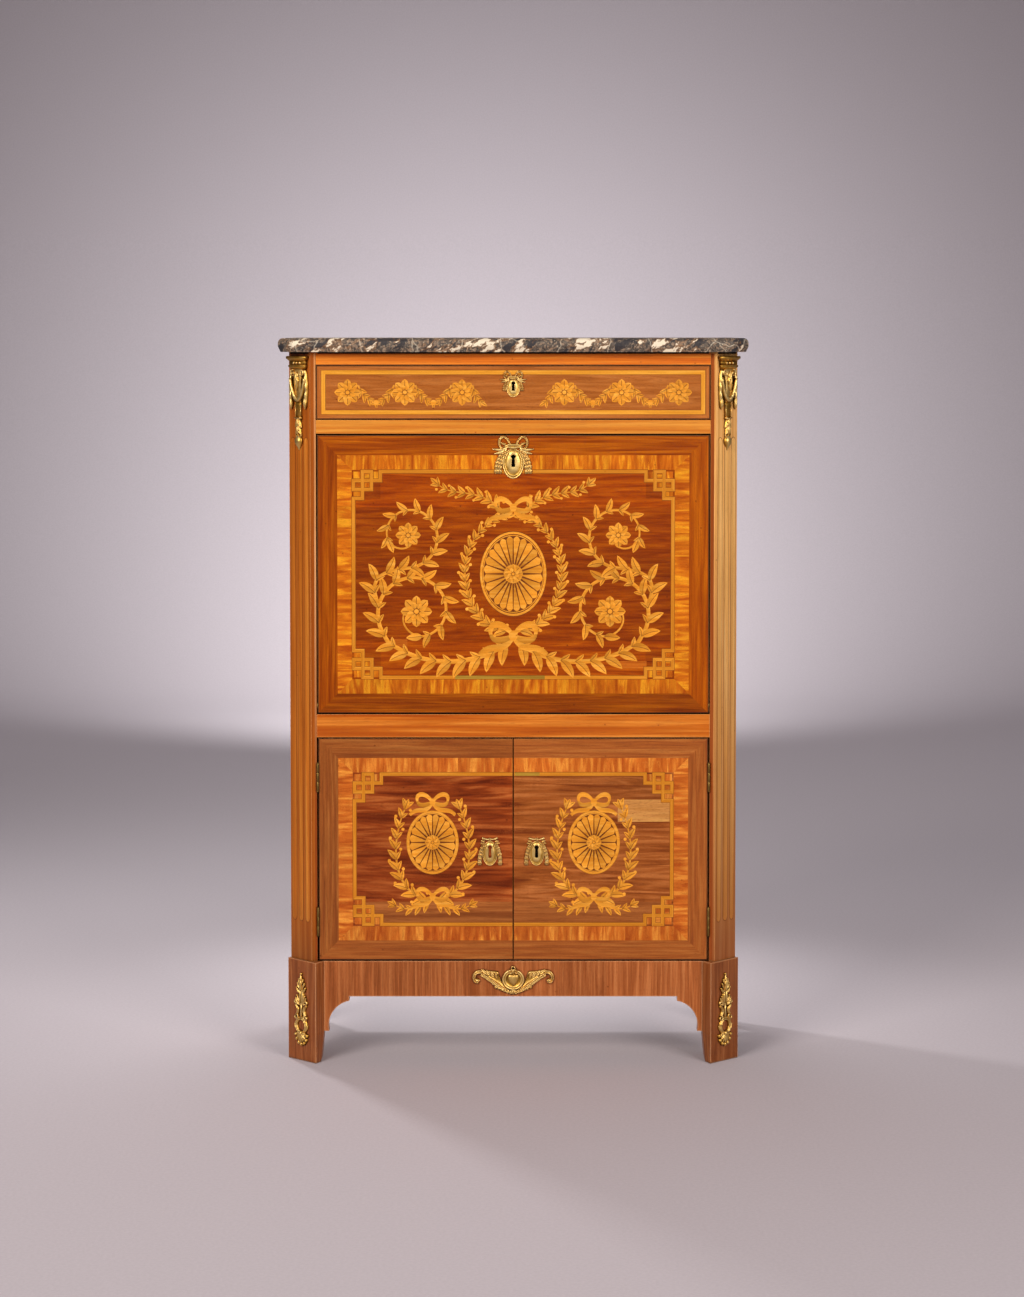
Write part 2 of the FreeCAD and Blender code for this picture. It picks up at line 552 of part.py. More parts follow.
def build_aprons(shop):
    """Makes the shaped aprons between the feet."""
    level_span = ("Places.foot_height", "Places.plinth_top")
    blank = shop.box(
        "front_apron_blank", middle_span("Places.plinth_inner"),
        ("Places.rail_front", "Places.rail_front + Sizes.apron_thickness"), level_span,
    )
    cutters = arch_cutters(
        shop, "front_apron", "x", "-Places.plinth_inner", "Places.plinth_inner",
        "Places.rail_front", "Sizes.apron_thickness",
    )
    shop.keep(shop.cut("front_apron", blank, *cutters))
    side_aprons = []
    for side, sign in SIDES:
        x_span = side_span(sign, "Places.plinth_side - Sizes.apron_thickness", "Places.plinth_side")
        label = f"{side}_side_apron"
        run = ("Places.foot_back", "Places.rear_post_front")
        blank = shop.box(f"{label}_blank", x_span, run, level_span)
        cutters = arch_cutters(
            shop, label, "y", "Places.foot_back", "Places.rear_post_front",
            x_span[0], "Sizes.apron_thickness",
        )
        side_aprons.append(shop.cut(label, blank, *cutters))
    shop.keep(shop.group("side_aprons", *side_aprons))


def build_case_boards(shop):
    """Makes the panels and boards of the case."""
    inside = middle_span("Places.half_opening")
    depth_span = ("Places.post_back", "Places.back_front")
    height_span = ("Places.plinth_top", "Places.case_top")
    inner_sides = []
    for side, sign in SIDES:
        shop.keep(shop.box(
            f"{side}_side_panel", side_span(sign, "Places.side_inner", "Places.side_face"),
            ("Places.post_back", "Places.rear_post_front"), height_span,
        ))
        inner_sides.append(shop.box(
            f"{side}_inner_side", side_span(sign, "Places.half_opening", "Places.inner_side_outer"),
            depth_span, height_span,
        ))
    shop.keep(shop.group("inner_sides", *inner_sides))

    back_span = ("Places.back_front", "Places.back_front + Sizes.back_thickness")
    between_posts = middle_span("Places.rear_post_inner")
    lower_levels = ("Places.plinth_top", "Places.middle_rail_high")
    upper_levels = ("Places.middle_rail_high", "Places.case_top")
    lower_back = shop.box("lower_back", between_posts, back_span, lower_levels)
    upper_back = shop.box("upper_back", between_posts, back_span, upper_levels)
    shop.keep(shop.group("back_panels", lower_back, upper_back))

    shop.keep(shop.box(
        "top_board", inside, depth_span, ("Places.case_top - Sizes.board_thickness", "Places.case_top"),
    ))
    shop.keep(shop.box(
        "dust_board", inside, depth_span,
        ("Places.drawer_rail_high - Sizes.board_thickness", "Places.drawer_rail_high"),
    ))
    shop.keep(shop.box(
        "cupboard_shelf", inside, ("Places.door_back + Sizes.shelf_setback", "Places.back_front"),
        ("Places.shelf_top - Sizes.board_thickness", "Places.shelf_top"),
    ))
    shop.keep(shop.box(
        "bottom_board", inside, ("Places.door_back + Sizes.reveal", "Places.back_front"),
        ("Places.plinth_top", "Places.bottom_top"),
    ))


def build_rails(shop):
    """Makes the three front rails with the mortises that take the bolts."""
    inside = middle_span("Places.half_opening")
    depth_span = ("Places.rail_front", "Places.post_back")
    top_blank = shop.box("top_rail_blank", inside, depth_span, ("Places.top_rail_low", "Places.case_top"))
    top_mortise = bolt_mortise(shop, "drawer_bolt_mortise", "z", "0", "Places.drawer_high", -1,
                               "Places.drawer_front_back", "Sizes.drawer_gap")
    shop.keep(shop.cut("top_rail", top_blank, top_mortise))

    drawer_blank = shop.box(
        "drawer_rail_blank", inside, depth_span, ("Places.drawer_rail_low", "Places.drawer_rail_high"),
    )
    drawer_mortise = bolt_mortise(shop, "fall_bolt_mortise", "z", "0", "Places.fall_high", -1,
                                  "Places.fall_back", "Sizes.fall_top_gap")
    shop.keep(shop.cut("drawer_rail", drawer_blank, drawer_mortise))

    middle_blank = shop.box(
        "middle_rail_blank", inside, depth_span, ("Places.middle_rail_low", "Places.middle_rail_high"),
    )
    keeper = shop.rod(
        "slide_bolt_keeper", "z", ("-Sizes.rod_place", "Places.rod_y", "Places.middle_rail_low - 1"),
        "Sizes.rod_radius + 0.5", "Sizes.rod_throw + 2",
    )
    shop.keep(shop.cut("middle_rail", middle_blank, keeper))


def inward(edge, sign, near, far):
    """Returns the low and high of a span that runs from an edge into its panel."""
    if sign < 0:
        return (f"({edge}) - ({far})", f"({edge}) - ({near})")
    return (f"({edge}) + ({near})", f"({edge}) + ({far})")


def lock_block(shop, label, direction, middle, along, half_width, y_span):
    """Makes a block of a lock whose bolt runs along x or z."""
    across = (f"({middle}) - ({half_width})", f"({middle}) + ({half_width})")
    if direction == "z":
        return shop.box(label, across, y_span, along)
    return shop.box(label, along, y_span, across)


def bolt_span(panel_back, clearance):
    """Returns the low and high y of a bolt in the middle of its lock case."""
    middle = f"({panel_back}) - Sizes.lock_depth / 2"
    half = f"(Sizes.bolt_thickness / 2 + {clearance})"
    return (f"{middle} - {half}", f"{middle} + {half}")


def bolt_mortise(shop, label, direction, middle, edge, sign, panel_back, gap):
    """Makes the cutter that lets a thrown bolt into the next piece."""
    along = inward(edge, -sign, "0", f"Sizes.bolt_throw + {gap}")
    half_width = "Sizes.bolt_width / 2 + 1"
    return lock_block(shop, label, direction, middle, along, half_width, bolt_span(panel_back, "1"))


def build_lock(shop, name, direction, middle, edge, sign, panel_back, backset):
    """Makes a lock case with its bolt; returns the cutter for the case."""
    y_span = (f"({panel_back}) - Sizes.lock_depth", panel_back)
    along = inward(edge, sign, "0", f"{backset} + Sizes.lock_margin")
    half_width = "Sizes.lock_width / 2"
    blank = lock_block(shop, f"{name}_lock_blank", direction, middle, along, half_width, y_span)
    cutter = lock_block(shop, f"{name}_lock_mortise", direction, middle, along, half_width, y_span)
    channel = lock_block(
        shop, f"{name}_lock_channel", direction, middle, inward(edge, sign, "-1", "Sizes.bolt_length + 1"),
        "Sizes.bolt_width / 2 + Sizes.bolt_clearance", bolt_span(panel_back, "Sizes.bolt_clearance"),
    )
    shop.keep(shop.cut(f"{name}_lock", blank, channel))
    shop.keep(lock_block(
        shop, f"{name}_bolt", direction, middle, inward(edge, sign, "0.5", "Sizes.bolt_length + 0.5"),
        "Sizes.bolt_width / 2", bolt_span(panel_back, "0"),
    ))
    return cutter


def keyhole(shop, label, x, z, y_span):
    """Makes the cutter of a keyhole: a round above a slot."""
    length = f"({y_span[1]}) - ({y_span[0]})"
    eye = shop.rod(f"{label}_eye", "y", (x, y_span[0], z), "Sizes.keyhole_radius", length)
    x_span = (f"({x}) - Sizes.keyhole_slot / 2", f"({x}) + Sizes.keyhole_slot / 2")
    slot = shop.box(f"{label}_slot", x_span, y_span, (f"({z}) - Sizes.keyhole_drop", z))
    return shop.fuse(label, eye, slot)


def half_outline_points(outline, width, height):
    """Returns the corners of a bronze from its half outline."""
    right = [(f"{share} * {width} / 2", f"{drop} * {height}") for share, drop in outline]
    left = []
    for share, drop in reversed(outline):
        if share > 0:
            left.append((f"-{share} * {width} / 2", f"{drop} * {height}"))
    return right + left


def bronze(shop, label, outline, name):
    """Makes a flat bronze from its half outline, with its back at y zero and its top at z zero."""
    body = shop.body(label)
    points = half_outline_points(outline, f"Sizes.{name}_width", f"Sizes.{name}_height")
    depth = "Sizes.escutcheon_depth" if "escutcheon" in name else f"Sizes.{name}_depth"
    shop.pad(body, label, "XZ_Plane", points, "0", depth)
    return body


def build_escutcheon(shop, label, name, x, keyhole_z):
    """Makes an escutcheon on the front with a keyhole through it."""
    blank = bronze(shop, f"{label}_blank", ESCUTCHEON_SHARES, name)
    shop.place(blank, (x, "Places.rail_front", f"({keyhole_z}) + 0.6 * Sizes.{name}_height"))
    y_span = ("Places.rail_front - Sizes.escutcheon_depth - 1", "Places.rail_front + 1")
    shop.keep(shop.cut(label, blank, keyhole(shop, f"{label}_keyhole", x, keyhole_z, y_span)))


def build_frieze_drawer(shop):
    """Makes the drawer under the marble, its lock and its stops."""
    front_half = "Places.drawer_outer"
    wall_inner = "Places.drawer_outer - Sizes.drawer_wall"
    wall_top = "Places.drawer_high - Sizes.drawer_drop"
    run = ("Places.drawer_front_back", "Places.drawer_end")
    blank = shop.box(
        "drawer_front_blank", middle_span(front_half), ("Places.rail_front", "Places.drawer_front_back"),
        ("Places.drawer_low", "Places.drawer_high"),
    )
    lock = build_lock(shop, "drawer", "z", "0", "Places.drawer_high", -1,
                      "Places.drawer_front_back", "Sizes.drawer_backset")
    key_z = "Places.drawer_high - Sizes.drawer_backset"
    hole_span = ("Places.rail_front - 1", "Places.drawer_front_back")
    hole = keyhole(shop, "drawer_keyhole", "0", key_z, hole_span)
    shop.keep(shop.cut("drawer_front", blank, lock, hole))
    build_escutcheon(shop, "drawer_escutcheon", "drawer_escutcheon", "0", key_z)

    walls = []
    for side, sign in SIDES:
        walls.append(shop.box(
            f"{side}_drawer_wall", side_span(sign, wall_inner, front_half), run,
            ("Places.drawer_wall_low", wall_top),
        ))
    shop.keep(shop.group("drawer_sides", *walls))
    floor_levels = ("Places.drawer_floor_low", "Places.drawer_floor_high")
    shop.keep(shop.box("drawer_bottom", middle_span(wall_inner), run, floor_levels))
    shop.keep(shop.box(
        "drawer_back", middle_span(wall_inner),
        ("Places.drawer_end - Sizes.drawer_wall", "Places.drawer_end"),
        ("Places.drawer_floor_high", wall_top),
    ))
    stops = []
    stop_start = "Places.drawer_end + Sizes.stop_gap"
    for side, sign in SIDES:
        stops.append(shop.box(
            f"{side}_drawer_stop",
            side_span(sign, "Sizes.stop_block_place", "Sizes.stop_block_place + Sizes.stop_block_width"),
            (stop_start, f"{stop_start} + Sizes.stop_block_depth"),
            ("Places.drawer_rail_high", "Places.drawer_rail_high + Sizes.stop_block_height"),
        ))
    shop.keep(shop.group("drawer_stops", *stops))


def build_fall(shop):
    """Makes the fall front with its pivots, lock, leather and stop."""
    blank = shop.body("fall_blank")
    outline = (
        ("Places.rail_front", "Places.fall_low"),
        ("Places.fall_back", "Places.fall_low"),
        ("Places.fall_back", "Places.fall_high"),
        ("Places.rail_front", "Places.fall_high"),
    )
    slab = shop.pad(blank, "fall", "YZ_Plane", outline, "-Places.fall_outer", "2 * Places.fall_outer")
    low = shop.value("Places.fall_low")
    for name, edge_y in (("heel", "Places.fall_back"), ("toe", "Places.rail_front")):
        middle_y = shop.value(edge_y)
        slab = shop.round_edges(
            blank, f"fall_{name}", slab,
            lambda middle: all(map(close_to, middle, (0, middle_y, low))),
            f"Sizes.fall_{name}_round",
        )
    lock = build_lock(shop, "fall", "z", "0", "Places.fall_high", -1,
                      "Places.fall_back", "Sizes.fall_backset")
    key_z = "Places.fall_high - Sizes.fall_backset"
    hole = keyhole(shop, "fall_keyhole", "0", key_z, ("Places.rail_front - 1", "Places.fall_back"))
    cutters = [lock, hole]
    pivots = []
    for side, sign in SIDES:
        root = ("Places.fall_outer - Sizes.pivot_root", "Places.fall_outer")
        bore_start = side_span(sign, root[0], root[1])[0]
        cutters.append(shop.rod(
            f"{side}_pivot_socket", "x", (bore_start, "Places.pivot_y", "Places.pivot_z"),
            "Sizes.pivot_radius + Sizes.pivot_clearance", "Sizes.pivot_root",
        ))
        pin_end = "Places.half_opening + Sizes.pivot_length"
        pin_start = side_span(sign, root[0], pin_end)[0]
        pin = shop.rod(
            f"{side}_pivot_pin", "x", (pin_start, "Places.pivot_y", "Places.pivot_z"),
            "Sizes.pivot_radius", f"{pin_end} - ({root[0]})",
        )
        collar_start = side_span(sign, root[1], f"{root[1]} + Sizes.collar_length")[0]
        collar = shop.rod(
            f"{side}_pivot_collar", "x", (collar_start, "Places.pivot_y", "Places.pivot_z"),
            "Sizes.collar_radius", "Sizes.collar_length",
        )
        pivots.append(shop.fuse(f"{side}_fall_pivot", pin, collar))
    shop.keep(shop.cut("fall_panel", blank, *cutters))
    shop.keep(shop.group("fall_pivots", *pivots))
    build_escutcheon(shop, "fall_escutcheon", "fall_escutcheon", "0", key_z)
    shop.keep(shop.box(
        "writing_leather", middle_span("Places.fall_outer - Sizes.leather_margin"),
        ("Places.fall_back", "Places.fall_back + Sizes.leather_thickness"),
        ("Places.fall_low + Sizes.leather_margin", "Places.fall_high - Sizes.leather_margin"),
    ))
    stop_front = "Places.fall_back + Sizes.stop_gap"
    shop.keep(shop.box(
        "fall_stop", middle_span("Places.half_opening - Sizes.stop_batten_margin"),
        (stop_front, f"{stop_front} + Sizes.stop_batten_depth"),
        ("Places.drawer_rail_low - Sizes.stop_batten_height", "Places.drawer_rail_low"),
    ))


def build_stays(shop):
    """Makes the quadrant stays that hold the open fall and the guides they run in."""
    stays = []
    guides = []
    to_side = FreeCAD.Rotation(AXES["z"], AXES["y"], AXES["x"] * -1, "ZXY")
    for side, sign in SIDES:
        x_span = side_span(sign, "Places.stay_inner", "Places.stay_outer")
        rings = []
        for name, half in (("outer", "Sizes.stay_width / 2"), ("inner", "-Sizes.stay_width / 2")):
            ring = shop.document.addObject("Part::Cylinder", f"{side}_stay_{name}")
            ring.setExpression("Radius", f"Sizes.stay_radius + {half}")
            ring.setExpression("Height", "Sizes.stay_thickness")
            start = shop.value("Places.stay_start") if name == "outer" else 0
            turn = FreeCAD.Rotation(AXES["z"], start)
            shop.place(ring, (x_span[1], "Places.pivot_y", "Places.pivot_z"), to_side * turn)
            rings.append(ring)
        rings[0].setExpression("Angle", "Places.stay_end - Places.stay_start")
        bar = shop.cut(f"{side}_stay_bar", *rings)
        stop = shop.rod(
            f"{side}_stay_stop", "x", (x_span[0], "Places.stop_y", "Places.stop_z"),
            "Sizes.stop_radius", "Sizes.stay_thickness",
        )
        foot = shop.box(
            f"{side}_stay_foot", x_span,
            ("Places.fall_back", "Places.fall_back + Sizes.stay_foot_thickness"),
            ("Places.guide_z - Sizes.stay_foot_height / 2", "Places.guide_z + Sizes.stay_foot_height / 2"),
        )
        stays.append(shop.fuse(f"{side}_quadrant_stay", bar, stop, foot))

        slot_clear = "Sizes.stay_gap - Sizes.guide_wall"
        guide_inner = f"Places.stay_inner - ({slot_clear}) - Sizes.guide_wall"
        y_span = ("Places.guide_front", "Places.guide_back")
        block = shop.box(
            f"{side}_guide_blank", side_span(sign, guide_inner, "Places.half_opening"), y_span,
            ("Places.guide_z - Sizes.guide_height / 2", "Places.guide_z + Sizes.guide_height / 2"),
        )
        half_slot = "Sizes.guide_slot_height / 2"
        slot = shop.box(
            f"{side}_guide_slot",
            side_span(sign, f"Places.stay_inner - ({slot_clear})", f"Places.stay_outer + {slot_clear}"),
            ("Places.guide_front - 1", "Places.guide_back + 1"),
            (f"Places.guide_z - {half_slot}", f"Places.guide_z + {half_slot}"),
        )
        guides.append(shop.cut(f"{side}_quadrant_guide", block, slot))
    shop.keep(shop.group("quadrant_stays", *stays))
    shop.keep(shop.group("quadrant_guides", *guides))


def build_desk(shop):
    """Makes the desk floor, its bearers, and the shelves and dividers of the fitment."""
    inside = middle_span("Places.half_opening")
    blank = shop.box(
        "desk_floor_blank", inside, ("Places.desk_front", "Places.back_front"),
        ("Places.desk_low", "Places.desk_top"),
    )
    notches = []
    for side, sign in SIDES:
        reach = "(Sizes.stop_radius + Sizes.notch_margin)"
        notches.append(shop.box(
            f"{side}_desk_notch",
            side_span(sign, "Places.half_opening - Sizes.notch_width", "Places.half_opening + 1"),
            (f"Places.stop_y - {reach}", f"Places.stop_y + {reach}"),
            ("Places.desk_low - 1", "Places.desk_top + 1"),
        ))
    shop.keep(shop.cut("desk_floor", blank, *notches))
    bearer_levels = ("Places.middle_rail_high", "Places.desk_low")
    bearers = []
    for name, back in (("front", "Places.post_back"), ("rear", "Places.back_front")):
        run = (f"{back} - Sizes.bearer_depth", back)
        bearers.append(shop.box(f"{name}_bearer", inside, run, bearer_levels))
    shop.keep(shop.group("desk_floor_bearers", *bearers))

    depth_span = ("Places.fitment_front", "Places.back_front")
    pieces = []
    for name, low in (("lower", "Places.lower_shelf_low"), ("upper", "Places.upper_shelf_low")):
        levels = (low, f"{low} + Sizes.fitment_shelf")
        pieces.append(shop.box(f"{name}_fitment_shelf", inside, depth_span, levels))
    drawer_levels = ("Places.desk_top", "Places.lower_shelf_low")
    for side, sign in SIDES:
        pieces.append(shop.box(
            f"{side}_fitment_end", side_span(sign, "Places.fitment_inner", "Places.fitment_outer"),
            depth_span, drawer_levels,
        ))
        half_bay = "Places.inner_bay_width / 2"
        pieces.append(shop.box(
            f"{side}_drawer_divider", side_span(sign, half_bay, f"{half_bay} + Sizes.fitment_board"),
            depth_span, drawer_levels,
        ))
    for index in range(1, 5):
        low = f"{index} * Places.hole_width + {index - 1} * Sizes.fitment_board - Places.half_opening"
        pieces.append(shop.box(
            f"pigeonhole_divider_{index}", (low, f"{low} + Sizes.fitment_board"), depth_span,
            ("Places.lower_shelf_high", "Places.upper_shelf_low"),
        ))
    shop.keep(shop.group("pigeonholes", *pieces))


def build_inner_drawers(shop):
    """Makes the three small drawers of the fitment with their knobs."""
    half = "(Places.inner_bay_width / 2 - Sizes.inner_drawer_gap)"
    low = "Places.desk_top + Sizes.slide_gap"
    high = "Places.lower_shelf_low - Sizes.inner_drawer_top_gap"
    wall_high = f"{high} - Sizes.inner_drawer_drop"
    floor_high = f"{low} + Sizes.inner_wall"
    front = "Places.fitment_front"
    front_back = "Places.fitment_front + Sizes.inner_front_thickness"
    end = "Places.back_front - Sizes.inner_back_gap"
    for place, step in (("left", -1), ("centre", 0), ("right", 1)):
        centre = f"{step} * (Places.inner_bay_width + Sizes.fitment_board)"
        outer = (f"{centre} - {half}", f"{centre} + {half}")
        inner = (f"{outer[0]} + Sizes.inner_wall", f"{outer[1]} - Sizes.inner_wall")
        label = f"{place}_inner_drawer"
        run = (front_back, end)
        back_run = (f"{end} - Sizes.inner_wall", end)
        pieces = [
            shop.box(f"{label}_front", outer, (front, front_back), (low, high)),
            shop.box(f"{label}_left_wall", (outer[0], inner[0]), run, (low, wall_high)),
            shop.box(f"{label}_right_wall", (inner[1], outer[1]), run, (low, wall_high)),
            shop.box(f"{label}_floor", inner, run, (low, floor_high)),
            shop.box(f"{label}_back", inner, back_run, (floor_high, wall_high)),
        ]
        neck_length = "(Sizes.knob_reach - Sizes.knob_radius)"
        knob_centre = (centre, f"{front} - {neck_length}", f"(({low}) + ({high})) / 2")
        neck = shop.rod(f"{label}_knob_neck", "y", knob_centre, "Sizes.knob_neck_radius", neck_length)
        ball = shop.document.addObject("Part::Sphere", f"{label}_knob_ball")
        ball.setExpression("Radius", "Sizes.knob_radius")
        shop.place(ball, knob_centre)
        pieces.append(shop.fuse(f"{label}_knob", neck, ball))
        shop.keep(shop.group(label, *pieces))


def build_doors(shop):
    """Makes the two doors, the right one with a lock and the left one with a slide bolt."""
    levels = ("Places.door_low", "Places.door_high")
    thickness = ("Places.rail_front", "Places.door_back")
    blanks = {}
    for side, sign in SIDES:
        x_span = side_span(sign, "Places.door_inner", "Places.door_outer")
        blanks[side] = shop.box(f"{side}_door_blank", x_span, thickness, levels)
        key_x = f"{sign} * (Places.door_inner + Sizes.door_backset)"
        build_escutcheon(shop, f"{side}_door_escutcheon", "door_escutcheon", key_x, "Places.door_keyhole_z")
    lock = build_lock(shop, "right_door", "x", "Places.door_keyhole_z", "Places.door_inner", 1,
                      "Places.door_back", "Sizes.door_backset")
    key_x = "Places.door_inner + Sizes.door_backset"
    hole_span = ("Places.rail_front - 1", "Places.door_back")
    hole = keyhole(shop, "right_door_keyhole", key_x, "Places.door_keyhole_z", hole_span)
    shop.keep(shop.cut("right_door_panel", blanks["right"], lock, hole))
    mortise = bolt_mortise(shop, "right_door_bolt_mortise", "x", "Places.door_keyhole_z",
                           "Places.door_inner", 1, "Places.door_back", "Sizes.meeting_gap")
    shop.keep(shop.cut("left_door_panel", blanks["left"], mortise))

    guide_low = "Places.rod_high - Sizes.rod_throw - 1.5 * Sizes.rod_guide_height / 2"
    guide_blank = shop.box(
        "bolt_guide_blank",
        ("-Sizes.rod_place - Sizes.rod_guide_width / 2", "-Sizes.rod_place + Sizes.rod_guide_width / 2"),
        ("Places.door_back", "Places.rod_y + Sizes.rod_standoff"),
        (guide_low, f"{guide_low} + Sizes.rod_guide_height"),
    )
    guide_bore = shop.rod(
        "bolt_guide_bore", "z", ("-Sizes.rod_place", "Places.rod_y", f"{guide_low} - 1"),
        "Sizes.rod_radius + Sizes.rod_clearance", "Sizes.rod_guide_height + 2",
    )
    shop.keep(shop.cut("bolt_guide", guide_blank, guide_bore))
    rod_low = "Places.rod_high - Sizes.rod_length"
    rod = shop.rod(
        "slide_bolt_rod", "z", ("-Sizes.rod_place", "Places.rod_y", rod_low),
        "Sizes.rod_radius", "Sizes.rod_length",
    )
    knob = shop.rod(
        "slide_bolt_knob", "y", ("-Sizes.rod_place", "Places.rod_y", f"{rod_low} + Sizes.rod_radius"),
        "Sizes.rod_radius", "Sizes.rod_knob_length",
    )
    shop.keep(shop.fuse("left_door_bolt", rod, knob))


def build_hinges(shop):
    """Makes the butt hinges at the outer edges of the doors."""
    post_leaves = []
    pins = []
    third = "Sizes.hinge_height / 3"
    for side, sign in SIDES:
        axis_x = f"{sign} * Places.hinge_x"
        door_leaves = []
        for level in ("lower", "upper"):
            name = f"{side}_{level}"
            low = f"Places.{level}_hinge_z - Sizes.hinge_height / 2"
            high = f"Places.{level}_hinge_z + Sizes.hinge_height / 2"
            plate_front = "Places.hinge_y + Sizes.knuckle_radius + Sizes.knuckle_gap"
            plate_run = (plate_front, "Places.rail_front + Sizes.leaf_depth")
            tab_run = ("Places.hinge_y", f"{plate_front} + 1")
            post_span = side_span(sign, "Places.half_opening - Sizes.leaf_thickness", "Places.half_opening")
            door_span = side_span(sign, "Places.door_outer", "Places.door_outer + Sizes.leaf_thickness")
            door_knuckle = (f"{low} + {third} + Sizes.knuckle_gap", f"{high} - {third} - Sizes.knuckle_gap")
            knuckles = {
                "post": ((low, f"{low} + {third}"), (f"{high} - {third}", high)),
                "door": (door_knuckle,),
            }
            for owner, x_span in (("post", post_span), ("door", door_span)):
                members = [shop.box(f"{name}_{owner}_plate", x_span, plate_run, (low, high))]
                for index, (start, end) in enumerate(knuckles[owner]):
                    members.append(shop.box(f"{name}_{owner}_tab_{index}", x_span, tab_run, (start, end)))
                    members.append(shop.rod(
                        f"{name}_{owner}_knuckle_{index}", "z", (axis_x, "Places.hinge_y", start),
                        "Sizes.knuckle_radius", f"({end}) - ({start})",
                    ))
                joined = shop.fuse(f"{name}_{owner}_leaf_blank", *members)
                bore = shop.rod(
                    f"{name}_{owner}_pin_bore", "z", (axis_x, "Places.hinge_y", f"{low} - 1"),
                    "Sizes.hinge_pin_radius + Sizes.hinge_pin_clearance", "Sizes.hinge_height + 2",
                )
                leaf = shop.cut(f"{name}_{owner}_leaf", joined, bore)
                if owner == "post":
                    post_leaves.append(leaf)
                else:
                    door_leaves.append(leaf)
            shaft = shop.rod(
                f"{name}_pin_shaft", "z", (axis_x, "Places.hinge_y", low),
                "Sizes.hinge_pin_radius", "Sizes.hinge_height",
            )
            heads = []
            for end_name, start in (("foot", f"{low} - Sizes.hinge_cap_height"), ("head", high)):
                heads.append(shop.rod(
                    f"{name}_pin_{end_name}", "z", (axis_x, "Places.hinge_y", start),
                    "Sizes.knuckle_radius - 0.35", "Sizes.hinge_cap_height",
                ))
            pins.append(shop.fuse(f"{name}_hinge_pin", shaft, *heads))
        shop.keep(shop.group(f"{side}_door_leaves", *door_leaves))
    shop.keep(shop.group("post_hinge_leaves", *post_leaves))
    shop.keep(shop.group("hinge_pins", *pins))


def build_mounts(shop):
    """Makes the gilt bronze corner, foot and apron mounts."""
    for side, sign in SIDES:
        turn = FreeCAD.Rotation(AXES["z"], sign * 45)
        chute = bronze(shop, f"{side}_corner_chute", CORNER_MOUNT_SHARES, "corner_mount")
        capital = shop.box(
            f"{side}_corner_capital", middle_span("Sizes.corner_mount_width / 2"),
            ("-Sizes.capital_depth", "0"), ("-Sizes.capital_height", "0"),
        )
        mount = shop.fuse(f"{side}_corner_mount", chute, capital)
        shop.keep(shop.place(mount, (
            f"{sign} * (Places.post_edge_x + Places.half_case) / 2",
            "(Places.post_edge_y + Places.post_outer_y) / 2",
            "Places.case_top - Sizes.corner_mount_drop",
        ), turn))
        foot_mount = bronze(shop, f"{side}_foot_mount", FOOT_MOUNT_SHARES, "foot_mount")
        shop.keep(shop.place(foot_mount, (
            f"{sign} * (Places.plinth_edge_x + Places.plinth_outer) / 2",
            "(Places.plinth_edge_y + Places.plinth_outer_y) / 2",
            "Places.plinth_top - Sizes.foot_mount_drop",
        ), turn))
    apron_mount = bronze(shop, "apron_mount", APRON_MOUNT_SHARES, "apron_mount")
    apron_mount_top = "Places.plinth_top - Sizes.apron_mount_drop"
    shop.keep(shop.place(apron_mount, ("0", "Places.rail_front", apron_mount_top)))


def main():
    """Builds the document and writes the sub-parts."""
    os.makedirs("parts", exist_ok=True)
    shop = Workshop("DropFrontSecretary")
    shop.add_sheets()
    build_marble(shop)
    build_posts(shop)
    build_feet(shop)
    build_aprons(shop)
    build_case_boards(shop)
    build_rails(shop)
    build_frieze_drawer(shop)
    build_fall(shop)
    build_stays(shop)
    build_desk(shop)
    build_inner_drawers(shop)
    build_doors(shop)
    build_hinges(shop)
    build_mounts(shop)
    shop.write()


main()
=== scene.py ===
"""Looks of a drop front secretary: marquetry, bronze mounts, marble and timber round its CAD frame."""

import logging
import math
from dataclasses import dataclass, replace
from enum import Enum, IntEnum
from functools import lru_cache
from typing import Callable, Sequence

import bmesh
import bpy
from mathutils import Euler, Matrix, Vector


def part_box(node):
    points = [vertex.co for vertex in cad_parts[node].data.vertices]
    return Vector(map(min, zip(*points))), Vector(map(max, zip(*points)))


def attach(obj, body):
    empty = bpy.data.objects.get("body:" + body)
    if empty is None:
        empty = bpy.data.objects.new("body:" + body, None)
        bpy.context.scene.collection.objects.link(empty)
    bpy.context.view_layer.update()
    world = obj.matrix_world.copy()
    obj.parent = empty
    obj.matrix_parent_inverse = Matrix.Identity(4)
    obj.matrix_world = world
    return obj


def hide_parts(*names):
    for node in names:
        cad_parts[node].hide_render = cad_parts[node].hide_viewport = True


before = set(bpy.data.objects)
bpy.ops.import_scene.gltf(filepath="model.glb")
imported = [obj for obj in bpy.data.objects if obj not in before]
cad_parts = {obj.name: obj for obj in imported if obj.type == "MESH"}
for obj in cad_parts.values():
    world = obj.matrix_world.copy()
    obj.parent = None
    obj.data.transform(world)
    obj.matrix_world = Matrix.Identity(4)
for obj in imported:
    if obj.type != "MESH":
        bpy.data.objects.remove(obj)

LOG = logging.getLogger("secretary")
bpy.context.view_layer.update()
MM = 0.001

Point = tuple[float, float]
Path = Sequence[Point]
RingPoint = tuple[float, float, float, float]
# One value, or one for each point.
Measure = float | Sequence[float]
Shading = Callable[[float, float], float]
Tone = float | Shading
Socket = bpy.types.NodeSocket
Material = bpy.types.Material
# Settings that many nodes share: a value times a weight plus another, and a flat colour laid over another.
WEIGHTED = {"operation": "MULTIPLY_ADD"}
OVERLAID = {"data_type": "RGBA"}


class Grain(Enum):
    """The axis that a wood's fibres run along."""

    X = 0
    Y = 1
    Z = 2


